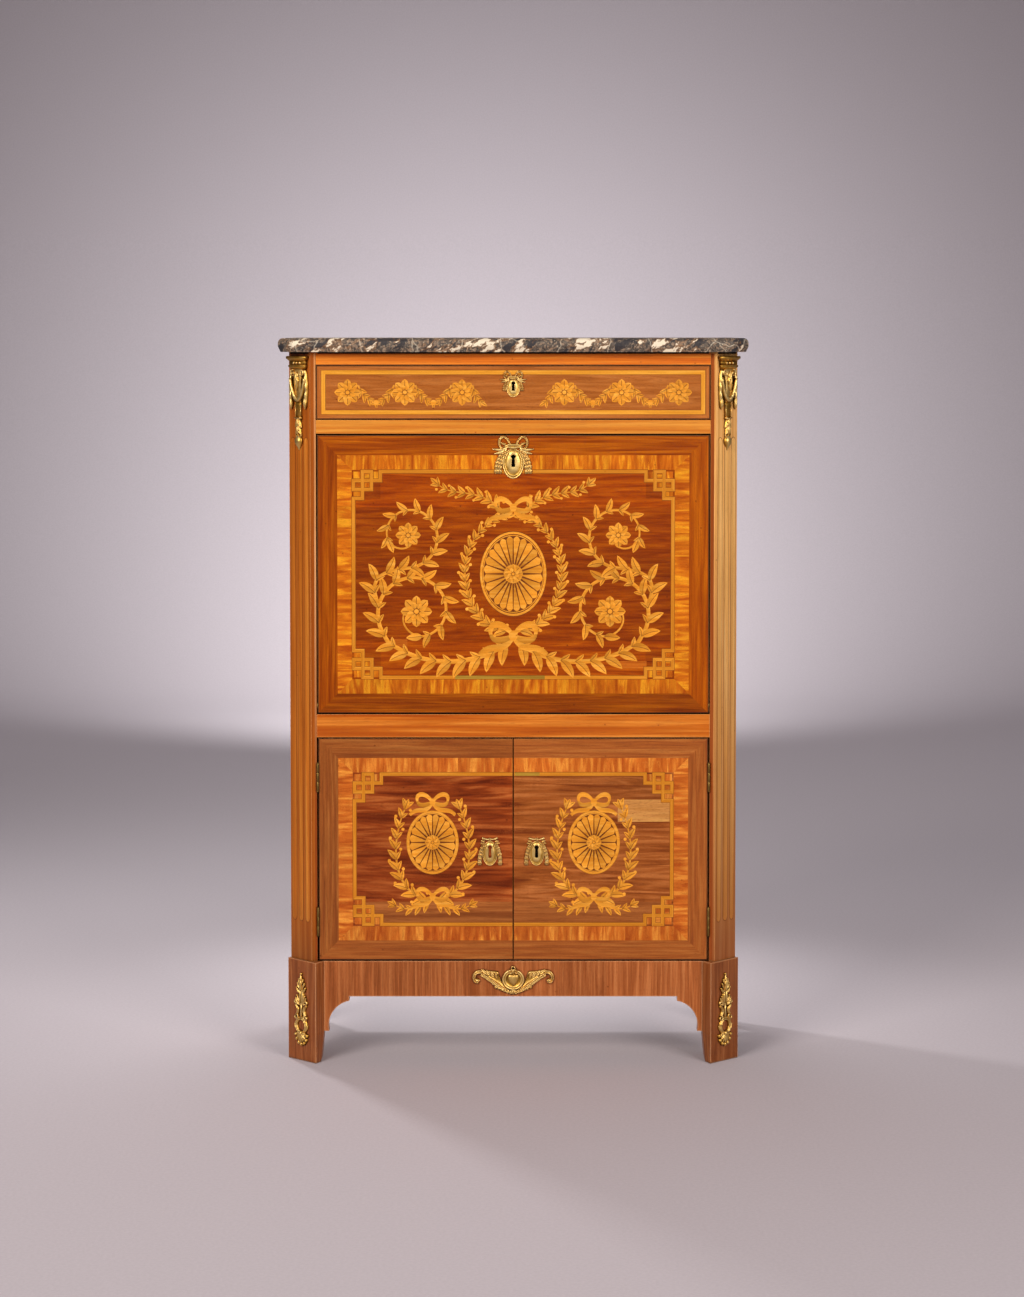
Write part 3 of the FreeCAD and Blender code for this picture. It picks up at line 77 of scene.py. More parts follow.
class Section(Enum):
    """The shape across a strip of cast bronze."""

    DOME = "half round"
    LEAF = "two swelling halves with a groove between them"
    REED = "three reeds side by side"
    FLAT = "flat with eased edges"
    DISH = "hollow with raised edges"


def linear(colour: str) -> tuple[float, float, float, float]:
    """Turns an sRGB hex colour such as #RRGGBB into linear red, green and blue, with an alpha of one."""
    parts = [int(colour[i : i + 2], 16) / 255 for i in (1, 3, 5)]
    return (*(p / 12.92 if p <= 0.04045 else ((p + 0.055) / 1.055) ** 2.4 for p in parts), 1.0)


class Graph:
    """The node tree of one material."""

    def __init__(self, name: str) -> None:
        """Starts an empty material.

        Args:
            name: the material's name.
        """
        self.material = bpy.data.materials.new(name)
        self.material.use_nodes = True
        self.tree = self.material.node_tree
        self.tree.nodes.clear()

    def add(
        self, kind: str, settings: dict | None = None, links: dict | None = None, out: int | str = 0
    ) -> Socket | None:
        """Adds a node with its settings and links.

        Args:
            kind: the node's type without its ShaderNode prefix.
            settings: values by input name or number, or by property name; stops gives a ramp's colours.
            links: sockets to link, by input name or number.
            out: which output to hand back.

        Returns:
            The chosen output, or None for a node without outputs.
        """
        node = self.tree.nodes.new("ShaderNode" + kind)
        for key, value in (settings or {}).items():
            if key == "stops":
                for position, _ in value[1:-1]:
                    node.color_ramp.elements.new(position)
                for element, (position, colour) in zip(node.color_ramp.elements, value):
                    element.position, element.color = position, linear(colour)
            elif isinstance(key, int) or key in node.inputs:
                node.inputs[key].default_value = value
            else:
                setattr(node, key, value)
        for key, socket in (links or {}).items():
            self.tree.links.new(socket, node.inputs[key])
        return node.outputs[out] if len(node.outputs) else None

    def close(self, settings: dict, links: dict) -> Material:
        """Ends the tree with a Principled shader.

        Args:
            settings: the shader's own values.
            links: sockets that feed it.

        Returns:
            The finished material.
        """
        shader = self.add("BsdfPrincipled", settings, links)
        self.add("OutputMaterial", links={"Surface": shader})
        return self.material


@dataclass(frozen=True)
class Wood:
    """A sawn, planed and polished wood or veneer.

    The eye sees bands of colour along the fibres, finer streaks in them, short dark pores, sheets of slightly
    different colour side by side, and a soft wax sheen that the pores break up.
    """

    name: str
    dark: str
    middle: str
    light: str
    pore: str
    band_mm: float
    run_mm: float
    sheet_mm: float = 400.0
    roughness: float = 0.32
    gloss: float = 0.14
    coat: float = 0.02
    waver: float = 0.5
    streak: float = 0.5
    worn: str = ""
    worn_mm: float = 2.2
    foot: str = ""
    fade_mm: tuple[float, float] = (220.0, 1080.0)
    crossed: bool = False
    cloud_mm: float = 90.0
    knot_mm: float = 34.0
    # How far the painted shade in joints and under overhangs reaches, and its near-black colour.
    nook_mm: float = 9.0
    nook_shade_colour: str = "#120805"

    def toned(self, name: str, dark: str, middle: str, light: str, **changes: object) -> "Wood":
        """Gives the same wood under another name, in other colours and with other fields changed."""
        return replace(self, name=name, dark=dark, middle=middle, light=light, **changes)

    def sheet_dice(self, graph: Graph, grain: Grain, place: Socket, cut: Socket) -> list[Socket]:
        """Throws dice for each sheet of veneer; sheets lie side by side across the fibres.

        Args:
            graph: the material.
            grain: the axis of the fibres.
            place: the place on the object.
            cut: the number that a piece was cut with.

        Returns:
            A number and a colour that chance picks for each sheet.
        """
        across = graph.add("SeparateXYZ", links={0: place}, out=2 if grain is Grain.X else 0)
        sheet = graph.add("Math", {**WEIGHTED, 1: 1 / (self.sheet_mm * MM)}, {0: across, 2: cut})
        sheet = graph.add("Math", {"operation": "FLOOR"}, {0: sheet})
        # The stride keeps the sheets of one piece apart from those of the next.
        sheet = graph.add("Math", {**WEIGHTED, 1: 17.3}, {0: cut, 2: sheet})
        dice = {"noise_dimensions": "1D"}
        return [graph.add("TexWhiteNoise", dice, {"W": sheet}, out=out) for out in ("Value", "Color")]

    def fibre_space(self, graph: Graph, grain: Grain, place: Socket, shift: Socket) -> Socket:
        """Stretches space along the fibres, so that round noise becomes long figure.

        Args:
            graph: the material.
            grain: the axis of the fibres.
            place: the place on the object.
            shift: a colour that moves the figure of each sheet elsewhere.

        Returns:
            The stretched place.
        """
        across, along = 1 / (self.band_mm * MM), 1 / (self.run_mm * MM)
        scales = [along if axis is grain else across for axis in Grain]
        moved = graph.add("VectorMath", {"operation": "MULTIPLY", 1: (41.0, 37.0, 43.0)}, {0: shift})
        links = {0: place, 2: moved}
        if self.crossed:
            # Boards that stand across the others have their fibres from front to back.
            facing = graph.add("SeparateXYZ", links={0: graph.add("TexCoord", out="Normal")})
            facing = graph.add("Math", {"operation": "ABSOLUTE"}, {0: facing})
            facing = graph.add("Math", {"operation": "GREATER_THAN", 1: 0.7}, {0: facing})
            turned = {"data_type": "VECTOR", 4: scales, 5: (across, along, across)}
            links[1] = graph.add("Mix", turned, {0: facing}, out=1)
        return graph.add("VectorMath", {**WEIGHTED, 1: scales}, links)

    def worn_and_shaded(self, graph: Graph, colour: Socket, cloud: Socket) -> Socket:
        """Rubs the edges pale, and paints shade near black into joints and under overhangs.

        Args:
            graph: the material.
            colour: the colour so far.
            cloud: what makes the wear uneven.

        Returns:
            The colour with its worn edges and painted shade.
        """
        soft = graph.add("Bevel", {"samples": 4, "Radius": self.worn_mm * MM})
        flat = graph.add("NewGeometry", out="Normal")
        facing = graph.add("VectorMath", {"operation": "DOT_PRODUCT"}, {0: soft, 1: flat}, out="Value")
        facing = graph.add("Math", {**WEIGHTED, 1: 0.16}, {0: cloud, 2: facing})
        rub = graph.add("MapRange", {1: 1.03, 2: 0.9, 3: 0.0, 4: 0.75}, {0: facing})
        colour = graph.add("Mix", {**OVERLAID, 7: linear(self.worn)}, {0: rub, 6: colour}, out=2)
        # Painted shade: where little open space lies within nook_mm, in joints and under overhangs, the
        # colour goes near black.
        nook = graph.add("AmbientOcclusion", {"samples": 4, "Distance": self.nook_mm * MM}, out="AO")
        nook_darkening = graph.add("MapRange", {1: 0.3, 2: 0.68, 3: 0.95, 4: 0.0}, {0: nook})
        return graph.add("Mix", {**OVERLAID, 7: linear(self.nook_shade_colour)}, {0: nook_darkening, 6: colour}, out=2)

    @lru_cache(maxsize=None)
    def material(self, grain: Grain) -> Material:
        """Makes the wood with its fibres along one axis.

        Args:
            grain: the axis of the fibres.

        Returns:
            The material.
        """
        graph = Graph(f"{self.name}_{grain.name.lower()}")
        place = graph.add("TexCoord", out="Object")
        cut, tone = (graph.add("Attribute", {"attribute_name": key}, out="Fac") for key in ("cut", "tone"))
        dice, shift = self.sheet_dice(graph, grain, place, cut)
        spot = self.fibre_space(graph, grain, place, shift)
        noise = {"Scale": 1.0, "Detail": 2.0, "Roughness": 0.55, "Distortion": self.waver}
        figure = graph.add("TexNoise", noise, {"Vector": spot})
        streaks = {**noise, "Scale": 3.4, "Detail": 5.0, "Distortion": 0.2}
        fine = graph.add("TexNoise", streaks, {"Vector": spot})
        pores = graph.add("TexNoise", {"Scale": 19.0, "Detail": 1.0}, {"Vector": spot})
        # Broad clouds of faded polish.
        cloud = graph.add("TexNoise", {"Scale": 1 / (self.cloud_mm * MM), "Detail": 2.0}, {"Vector": place})
        stops = [(0.32, self.dark), (0.5, self.middle), (0.68, self.light)]
        colour = graph.add("ValToRGB", {"stops": stops}, {0: figure})
        # Half the weight of what varies is taken off first, so that the shade stays about one.
        varied = ((fine, self.streak), (dice, 0.2), (cloud, 0.18))
        plain = 1 - sum(weight for _, weight in varied) / 2
        shade = graph.add("Math", {**WEIGHTED, 1: 0.45, 2: plain}, {0: tone})
        for part, weight in varied:
            shade = graph.add("Math", {**WEIGHTED, 1: weight}, {0: part, 2: shade})
        colour = graph.add("HueSaturation", links={"Value": shade, "Color": colour})
        if self.foot:
            # Darker towards the bottom: the colour is multiplied by the foot colour, fully up to the lower
            # height of fade_mm and not at all above the upper one.
            high = graph.add("SeparateXYZ", links={0: place}, out=2)
            low, top = self.fade_mm
            footward = graph.add("MapRange", {1: low * MM, 2: top * MM, 3: 1.0, 4: 0.0}, {0: high})
            tint = {**OVERLAID, "blend_type": "MULTIPLY", 7: linear(self.foot)}
            colour = graph.add("Mix", tint, {0: footward, 6: colour}, out=2)
        pit = graph.add("MapRange", {1: 0.6, 2: 0.72, 3: 0.0, 4: 0.55}, {0: pores})
        # Knots, dents and worm holes two to four millimetres across, about a hand's breadth apart.
        knots = graph.add("TexVoronoi", {"Scale": 1 / (self.knot_mm * MM)}, {"Vector": place})
        knot = graph.add("MapRange", {1: 0.03, 2: 0.062, 3: 0.7, 4: 0.0}, {0: knots})
        for share in (pit, knot):
            colour = graph.add("Mix", {**OVERLAID, 7: linear(self.pore)}, {0: share, 6: colour}, out=2)
        if self.worn:
            colour = self.worn_and_shaded(graph, colour, cloud)
        rough = graph.add("Math", {**WEIGHTED, 1: 0.2, 2: self.roughness - 0.1}, {0: fine})
        height = graph.add("Math", {**WEIGHTED, 1: -1.4}, {0: pit, 2: fine})
        normal = graph.add("Bump", {"Strength": 0.22, "Distance": 0.5 * MM}, {"Height": height})
        return graph.close(
            {"Coat Weight": self.coat, "Coat Roughness": 0.16, "IOR": 1.5, "Specular IOR Level": self.gloss},
            {"Base Color": colour, "Roughness": rough, "Normal": normal},
        )


# Tulipwood: pinkish orange with paler stripes, cut across the grain for the bands and along it for the rails.
TULIPWOOD_BAND = Wood(
    "tulipwood_crossband_polished", "#A04504", "#C4680E", "#E4981E", "#7E3408", 12, 80, 46, streak=0.6,
    waver=0.8,
)
DOOR_BAND = TULIPWOOD_BAND.toned("tulipwood_door_crossband_polished", "#A04610", "#C0641E", "#E29238")
TULIPWOOD_RAIL = Wood(
    "tulipwood_rail_polished", "#BA6A20", "#C67A28", "#D48E38", "#8A3E10", 7, 420, worn="#E2A766", streak=0.4
)
TULIPWOOD_TOP_RAIL = TULIPWOOD_RAIL.toned("tulipwood_top_rail_polished", "#BE5A16", "#CE6C1C", "#DE842A")
TULIPWOOD_MIDDLE_RAIL = TULIPWOOD_RAIL.toned(
    "tulipwood_middle_rail_polished", "#A84C0E", "#C06418", "#DA8430", band_mm=11
)
TULIPWOOD_POST = TULIPWOOD_RAIL.toned(
    "tulipwood_post_polished", "#9C4C12", "#AE5A18", "#BE6C26", band_mm=8, foot="#D4DEFF",
    fade_mm=(200.0, 340.0),
)
# The right post is paler, the colour of straw, most of all at its top.
PALE_POST = TULIPWOOD_POST.toned(
    "tulipwood_post_pale", "#D2944C", "#E4A65C", "#F0BA72", pore="#8E6230", foot="#AC8981",
    fade_mm=(220.0, 1080.0),
)
# The strips let into the posts as flutes, a little lighter than the post.
FLUTE_WOOD = TULIPWOOD_POST.toned("satinwood_flute_polished", "#AE5C18", "#BE6C20", "#CC8030", worn="")
PALE_FLUTE = PALE_POST.toned(
    "satinwood_flute_pale", "#D89E54", "#E8B064", "#F0C480", worn="", foot="#C09A76"
)
# The slip beside the opening, holly, in painted light: a pale lit copy on the left, and on the right a
# redder, darker shaded copy of the same slip.
LIT_SLIP = FLUTE_WOOD.toned(
    "holly_slip_painted_lit", "#D08A4E", "#DE9C60", "#EAB07A", streak=0.25, foot="#B07C50",
    fade_mm=(520.0, 960.0),
)
SHADED_SLIP = LIT_SLIP.toned("holly_slip_painted_shade", "#8C4216", "#9C4E1E", "#AE602C", foot="")
# Amaranth faded to brown: the mitred borders.
FALL_BORDER = Wood(
    "faded_amaranth_border_polished", "#7C3000", "#944300", "#AE5A04", "#521E02", 6, 170, 210, streak=0.9
)
DOOR_BORDER = FALL_BORDER.toned("faded_amaranth_door_border_polished", "#84421A", "#985220", "#AA662E")
DRAWER_BORDER = FALL_BORDER.toned("faded_amaranth_drawer_border_polished", "#9E561E", "#AC6226", "#BA7032")
AMARANTH_CASE = replace(DOOR_BORDER, name="faded_amaranth_case_polished", worn="#C08048")
# The plinth and apron: the same wood with upright grain, in sheets about a hand wide, worn along its edges.
AMARANTH_PLINTH = AMARANTH_CASE.toned(
    "amaranth_plinth_polished", "#8A4820", "#9E582C", "#B26C3C", sheet_mm=92, worn="#E0A878", worn_mm=4.5
)
# The front feet are darker than the apron between them.
AMARANTH_FOOT = AMARANTH_PLINTH.toned("amaranth_foot_polished", "#7C401C", "#8E4E26", "#A06034")
# The dark grounds of the marquetry, laid with level grain.
FALL_GROUND = Wood(
    "dark_amaranth_ground_polished", "#702600", "#8A3800", "#A04C02", "#4C1800", 9, 130, 92, streak=0.7,
    waver=1.0,
)
LEFT_DOOR_GROUND = FALL_GROUND.toned(
    "red_amaranth_ground_polished", "#581C02", "#80340C", "#A65826", band_mm=12, run_mm=150, sheet_mm=150,
    waver=0.9,
)
RIGHT_DOOR_GROUND = LEFT_DOOR_GROUND.toned("pale_amaranth_ground_polished", "#682C0A", "#8E4A1A", "#AE6632")
DOOR_FOOT_SHEET = RIGHT_DOOR_GROUND.toned(
    "brown_amaranth_sheet_polished", "#80421A", "#905022", "#A05E2C", run_mm=320
)
DRAWER_GROUND = FALL_GROUND.toned(
    "light_amaranth_ground_polished", "#965018", "#A85F24", "#B86F32", streak=0.5
)
# Boxwood: close grained yellow lines, and the motifs, shaded in hot sand.
BOXWOOD_LINE = Wood(
    "boxwood_stringing_polished", "#BC7218", "#C67C1E", "#D48C2C", "#A05E10", 5, 120, streak=0.3, waver=0.2
)
PALE_LINE = BOXWOOD_LINE.toned("boxwood_drawer_stringing_polished", "#D48A22", "#DE962C", "#E8A63E")
BOXWOOD_INLAY = BOXWOOD_LINE.toned("boxwood_inlay_sand_shaded", "#D08220", "#DC902A", "#E8A23E", band_mm=6)
# The scorched seams and graver's lines between and on the inlaid pieces: brown, not black.
GRAVED_LINE = Wood("scorched_veneer_seam", "#5E2C0A", "#6E3610", "#7E4216", "#4A2006", 4, 60, streak=0.3)
INLAY_WOODS = (BOXWOOD_INLAY, GRAVED_LINE)
# Painted shadow: near-black strips along the edges of the panels and under the marble, where the gaps lie in
# shade.
SHADOW_EDGE = Wood(
    "painted_shadow_arris", "#140905", "#1C0E07", "#26140A", "#0C0502", 5, 90, roughness=0.6, coat=0.0
)
# Later repairs: a pale patch in a door, olive line and a paler ground let in where the old veneer was lost.
PATCH_WOOD = DRAWER_GROUND.toned("pale_repair_veneer", "#AC7234", "#BC8042", "#CA924C")
OLIVE_LINE = BOXWOOD_LINE.toned("olive_repair_line", "#8E6A20", "#A07A28", "#B08A34")
GROUND_PATCH = FALL_GROUND.toned("ground_repair_veneer", "#A04C0C", "#B05A12", "#BE6A1C")
# Oak boards of the inside, planed, darkened and left without polish.
OAK = Wood(
    "planed_oak_unpolished", "#6B4A2A", "#84613A", "#9C784C", "#4A3018", 10, 330, 150, roughness=0.62,
    coat=0.0, streak=0.6, worn="#A98556",
)
# Walnut of the fitment behind the fall, waxed.
WALNUT = Wood(
    "waxed_walnut", "#5A3418", "#744722", "#8C5C30", "#38200E", 12, 260, 140, waver=1.0, worn="#9A6E42",
    crossed=True,
)


@dataclass(frozen=True)
class Metal:
    """A cast or filed metal.

    What stands out stays bright and dark dirt stays in the hollows, and the tools leave fine dents.
    """

    name: str
    hollow: str
    body: str
    crest: str
    roughness: float
    grit_mm: float
    cloud_mm: float = 12.0

    @lru_cache(maxsize=None)
    def material(self) -> Material:
        """Makes the metal.

        Returns:
            The material.
        """
        graph = Graph(self.name)
        place = graph.add("TexCoord", out="Object")
        tone = graph.add("Attribute", {"attribute_name": "tone"}, out="Fac")
        grit, cloud = (
            graph.add("TexNoise", {"Scale": 1 / (size * MM), "Detail": 3.0}, {"Vector": place})
            for size in (self.grit_mm, self.cloud_mm)
        )
        wear = graph.add("Math", {**WEIGHTED, 1: 0.36, 2: 0.34}, {0: tone})
        wear = graph.add("Math", {**WEIGHTED, 1: 0.36}, {0: cloud, 2: wear})
        stops = [(0.08, self.hollow), (0.5, self.body), (0.9, self.crest)]
        colour = graph.add("ValToRGB", {"stops": stops}, {0: wear})
        rough = graph.add("Math", {**WEIGHTED, 1: 0.3, 2: self.roughness - 0.15}, {0: cloud})
        normal = graph.add("Bump", {"Strength": 0.1, "Distance": 0.3 * MM}, {"Height": grit})
        return graph.close({"Metallic": 1.0}, {"Base Color": colour, "Roughness": rough, "Normal": normal})


# Gilt bronze: cast, chased and fire gilt, with dark dirt in the hollows.
GILT_BRONZE = Metal("fire_gilt_bronze_chased", "#503210", "#C8963E", "#F2D48C", 0.42, 0.9)
# Brass of the hinges, stays and pivots: filed and gone brown.
AGED_BRASS = Metal("filed_brass_darkened", "#3E2E16", "#7E6434", "#A88C54", 0.42, 0.7)
# Brass of the small knobs: turned, burnished and waxed.
TURNED_BRASS = Metal("turned_brass_waxed", "#5A4018", "#B28C44", "#E2C27A", 0.34, 0.5)
# Iron of the locks and bolts: filed bright and oiled.
BRIGHT_IRON = Metal("filed_iron_oiled", "#2A2826", "#5C5A57", "#86837E", 0.4, 0.6)
# Painted shadow in a keyhole: a near-black disc behind the hole, where the keyhole's depth lies in shade.
KEYHOLE_SHADOW = Metal("painted_keyhole_shadow", "#050404", "#0C0A09", "#141110", 0.7, 0.6)


@dataclass(frozen=True)
class Breccia:
    """Grey breccia marble, sawn and polished.

    The eye sees brown grey stone full of pale grit, smooth slate coloured lumps, and leaning cream shards
    with rusty edges that gather in drifts.
    """

    name: str = "breccia_marble_polished"
    ground: str = "#3C3633"
    stone: str = "#64594F"
    warm: str = "#8A7460"
    slate: str = "#333134"
    rust: str = "#9A6A3C"
    shard: str = "#EADCC2"
    stone_mm: float = 4.2
    slate_mm: tuple[float, float, float] = (44.0, 40.0, 17.0)
    shard_mm: tuple[float, float, float] = (36.0, 30.0, 12.0)
    vein_mm: float = 90.0
    speck_mm: float = 4.0
    drift_mm: float = 120.0
    bend_mm: float = 20.0
    bend_reach_mm: float = 16.0
    lean_deg: float = -32.0

    @lru_cache(maxsize=None)
    def material(self) -> Material:
        """Makes the marble.

        Returns:
            The material.
        """
        graph = Graph(self.name)
        place = graph.add("TexCoord", out="Object")
        bends = {"Scale": 1 / (self.bend_mm * MM), "Detail": 4.0}
        bend = graph.add("TexNoise", bends, {"Vector": place}, out="Color")
        bend = graph.add("VectorMath", {**WEIGHTED, 1: (self.bend_reach_mm * MM,) * 3}, {0: bend, 2: place})
        stones = graph.add("TexVoronoi", {"Scale": 1 / (self.stone_mm * MM)}, {"Vector": bend}, out="Color")
        lot = graph.add("SeparateColor", links={0: stones}, out=0)
        specks = {"Scale": 1 / (self.speck_mm * MM), "Detail": 4.0, "Roughness": 0.7}
        speck = graph.add("TexNoise", specks, {"Vector": place})
        lot = graph.add("Math", {**WEIGHTED, 1: 0.9}, {0: speck, 2: lot})
        # The ramp ends at one, so the lot and its stops are brought down to that.
        most = 1.45
        lot = graph.add("Math", {"operation": "DIVIDE", 1: most}, {0: lot})
        stops = [(0.4, self.ground), (0.8, self.stone), (1.0, self.ground), (1.25, self.warm)]
        stops = [(position / most, colour) for position, colour in stops]
        colour = graph.add("ValToRGB", {"stops": stops}, {0: lot})
        tilt = {"vector_type": "TEXTURE", "Rotation": (0.0, math.radians(self.lean_deg), 0.0)}
        layers = []
        for start, sizes in ((7.3, self.slate_mm), (0.0, self.shard_mm)):
            tilt = {**tilt, "Location": (start,) * 3, "Scale": tuple(size * MM for size in sizes)}
            slant = graph.add("Mapping", tilt, {"Vector": bend})
            lumpy = {"Scale": 1.0, "Detail": 4.0, "Roughness": 0.58}
            layers.append(graph.add("TexNoise", lumpy, {"Vector": slant}))
        lumps, shards = layers
        # Shards gather in drifts about a hand long, with nearly bare stone between them.
        drifts = {"noise_dimensions": "4D", "W": 2.0, "Scale": 1 / (self.drift_mm * MM), "Detail": 3.0}
        drift = graph.add("TexNoise", drifts, {"Vector": place})
        for part, weight in ((drift, 0.8), (speck, 0.2)):
            shards = graph.add("Math", {**WEIGHTED, 1: weight}, {0: part, 2: shards})
        seams = {"feature": "DISTANCE_TO_EDGE", "Scale": 1 / (self.vein_mm * MM)}
        seam = graph.add("TexVoronoi", seams, {"Vector": bend})
        for source, span, ends, tint in (
            (speck, (0.56, 0.7), (0.0, 0.55), self.shard), (lumps, (0.53, 0.57), (0.0, 0.92), self.slate),
            (shards, (1.0, 1.1), (0.0, 0.7), self.rust), (seam, (0.005, 0.014), (0.35, 0.0), self.shard),
            (shards, (1.075, 1.105), (0.0, 0.94), self.shard),
        ):
            share = graph.add("MapRange", dict(enumerate((*span, *ends), 1)), {0: source})
            colour = graph.add("Mix", {**OVERLAID, 7: linear(tint)}, {0: share, 6: colour}, out=2)
        rough = graph.add("Math", {**WEIGHTED, 1: 0.25, 2: 0.36}, {0: speck})
        normal = graph.add("Bump", {"Strength": 0.12, "Distance": 0.4 * MM}, {"Height": speck})
        return graph.close(
            {"IOR": 1.49, "Specular IOR Level": 0.2},
            {"Base Color": colour, "Roughness": rough, "Normal": normal},
        )


@dataclass(frozen=True)
class Leather:
    """Calf leather of the desk, dyed, waxed and rubbed: fine pebbled grain and paler worn patches."""

    name: str = "waxed_calf_leather"
    dark: str = "#3A1710"
    light: str = "#6A3222"
    pebble_mm: float = 1.6
    cloud_mm: float = 70.0

    @lru_cache(maxsize=None)
    def material(self) -> Material:
        """Makes the leather.

        Returns:
            The material.
        """
        graph = Graph(self.name)
        place = graph.add("TexCoord", out="Object")
        pebble = graph.add("TexVoronoi", {"Scale": 1 / (self.pebble_mm * MM)}, {"Vector": place})
        cloud = graph.add("TexNoise", {"Scale": 1 / (self.cloud_mm * MM), "Detail": 4.0}, {"Vector": place})
        colour = graph.add("ValToRGB", {"stops": [(0.3, self.dark), (0.72, self.light)]}, {0: cloud})
        rough = graph.add("Math", {**WEIGHTED, 1: 0.3, 2: 0.32}, {0: cloud})
        normal = graph.add("Bump", {"Strength": 0.35, "Distance": 0.4 * MM}, {"Height": pebble})
        return graph.close({"IOR": 1.5}, {"Base Color": colour, "Roughness": rough, "Normal": normal})


@dataclass(frozen=True)
class StudioPaper:
    """Seamless studio paper: matt, with faint fibres."""

    name: str = "seamless_paper_matt"
    dark: str = "#B4ACB1"
    light: str = "#B9B1B6"
    fibre_mm: float = 6.0

    @lru_cache(maxsize=None)
    def material(self) -> Material:
        """Makes the paper.

        Returns:
            The material.
        """
        graph = Graph(self.name)
        place = graph.add("TexCoord", out="Object")
        fibre = graph.add("TexNoise", {"Scale": 1 / (self.fibre_mm * MM), "Detail": 3.0}, {"Vector": place})
        colour = graph.add("ValToRGB", {"stops": [(0.35, self.dark), (0.65, self.light)]}, {0: fibre})
        return graph.close({"Roughness": 0.8, "Specular IOR Level": 0.2}, {"Base Color": colour})


@dataclass(frozen=True)
class Plane:
    """A flat face that ornament is laid on; u runs to the right, v up and w out of it, in millimetres."""

    origin: Vector
    right: Vector
    out: Vector

    def at(self, u: float, v: float, w: float) -> Vector:
        """Gives a place on the face in the frame's metres."""
        return (self.origin + self.right * u + Vector((0, 0, v)) + self.out * w) * MM

    def raised(self, height: float) -> "Plane":
        """Gives the same face with v measured from a height."""
        return replace(self, origin=self.origin + Vector((0, 0, height)))


RAIL_FRONT = -170.0
HALF_ROOT = math.sqrt(0.5)
# The middle of a canted face: its distance from the centre line, and its y.
POST_FACE = (419.0, -156.0)
FOOT_FACE = (418.0, -164.1)
FALL_KEYHOLE = (0.0, 1190.0)
DRAWER_KEYHOLE = (0.0, 1336.5)
DOOR_KEYHOLE = (46.0, 419.0)
# A mitre is drawn out by no more than one over this.
SHARPEST_MITRE = 0.35
INNER_DRAWERS = ("left", "centre", "right")
FRONT = Plane(Vector((0, RAIL_FRONT, 0)), Vector((1, 0, 0)), Vector((0, -1, 0)))


def canted(side: int, across: float, depth: float) -> Plane:
    """Gives the canted face of the left corner, -1, or of the right one, 1, from where its middle lies."""
    right = Vector((HALF_ROOT, side * HALF_ROOT, 0))
    return Plane(Vector((side * across, depth, 0)), right, Vector((side * HALF_ROOT, -HALF_ROOT, 0)))


def curve(*points: Point, count: int = 14) -> list[Point]:
    """Draws a Bezier curve.

    Args:
        points: its control points.
        count: how many points to give.

    Returns:
        Points along the curve, both ends included.
    """
    drawn = []
    for step in range(count):
        t, row = step / (count - 1), [Vector(p) for p in points]
        while len(row) > 1:
            row = [a.lerp(b, t) for a, b in zip(row, row[1:])]
        drawn.append((row[0].x, row[0].y))
    return drawn


def spiral(
    centre: Point, start: float, end: float, turn_from: float, turn_to: float, count: int = 30
) -> list[Point]:
    """Draws a spiral or an arc.

    Args:
        centre: its middle.
        start: the radius at the first point.
        end: the radius at the last point.
        turn_from: the angle of the first point in degrees.
        turn_to: the angle of the last point in degrees.
        count: how many points to give.

    Returns:
        Points along the spiral.
    """
    drawn = []
    for step in range(count):
        t = step / (count - 1)
        radius, angle = start + (end - start) * t, math.radians(turn_from + (turn_to - turn_from) * t)
        drawn.append((centre[0] + radius * math.cos(angle), centre[1] + radius * math.sin(angle)))
    return drawn


def oval(centre: Point, half_width: float, half_height: float, count: int = 48) -> list[Point]:
    """Draws an ellipse as points, without the first one again at the end."""
    turns = [2 * math.pi * step / count for step in range(count)]
    return [(centre[0] + half_width * math.cos(a), centre[1] + half_height * math.sin(a)) for a in turns]


def arc_steps(start: float, end: float, count: int = 9) -> list[float]:
    """Gives evenly spaced angles in radians between two angles in degrees."""
    return [math.radians(start + (end - start) * i / (count - 1)) for i in range(count)]


def mirrored(path: Path, side: int, middle: float = 0.0) -> list[Point]:
    """Gives a path as it is for side 1, or turned over about an upright line for side -1."""
    return [(middle + side * (u - middle), v) for u, v in path]


def for_each(values: Measure, count: int) -> list[float]:
    """Gives one value for each point, from a list or from one value for all."""
    return [values] * count if isinstance(values, (int, float)) else list(values)


def sides_of(path: Path, closed: bool) -> list[tuple[Vector, Vector]]:
    """Finds the mitred side direction at each point of a path.

    Args:
        path: the points.
        closed: whether the last point joins the first.

    Returns:
        Each point with the vector to its left, longer at a corner so that a strip keeps its width.
    """
    points = [Vector(p) for p in path]
    found = []
    for i, here in enumerate(points):
        before = points[i - 1] if i or closed else None
        after = points[(i + 1) % len(points)] if i + 1 < len(points) or closed else None
        steps = (here - before if before else None, after - here if after else None)
        ways = [step.normalized() for step in steps if step]
        lefts = [Vector((-way.y, way.x)) for way in ways]
        both = lefts[0] + lefts[-1]
        mean = both.normalized() if both.length > 1e-6 else lefts[0]
        found.append((here, mean / max(mean.dot(lefts[0]), SHARPEST_MITRE)))
    return found


# How deep a laid piece or a casting is let into what carries it.
BED = -0.4
BACKING = 0.4
# How many steps a bronze strip has across it.
ACROSS = 10
# Heights of the veneers, so that each layer of the marquetry lies on the one below.
GROUND_TOP = 0.15
FADE_TOP = 0.17
SHEET_TOP = 0.18
CELL_TOP = 0.20
OUTLINE_TOP = 0.23
LINE_TOP = 0.28
MOTIF_TOP = 0.30
KNOT_TOP = 0.64
DETAIL_TOP = 0.72
SEAM_RISE = 0.006
CROSSING_RISE = 0.02
REPAIR_RISE = 0.04
HUB_RISE = 0.002
TENDRIL_DROP = 0.05
TOOLING_TOP = 0.12
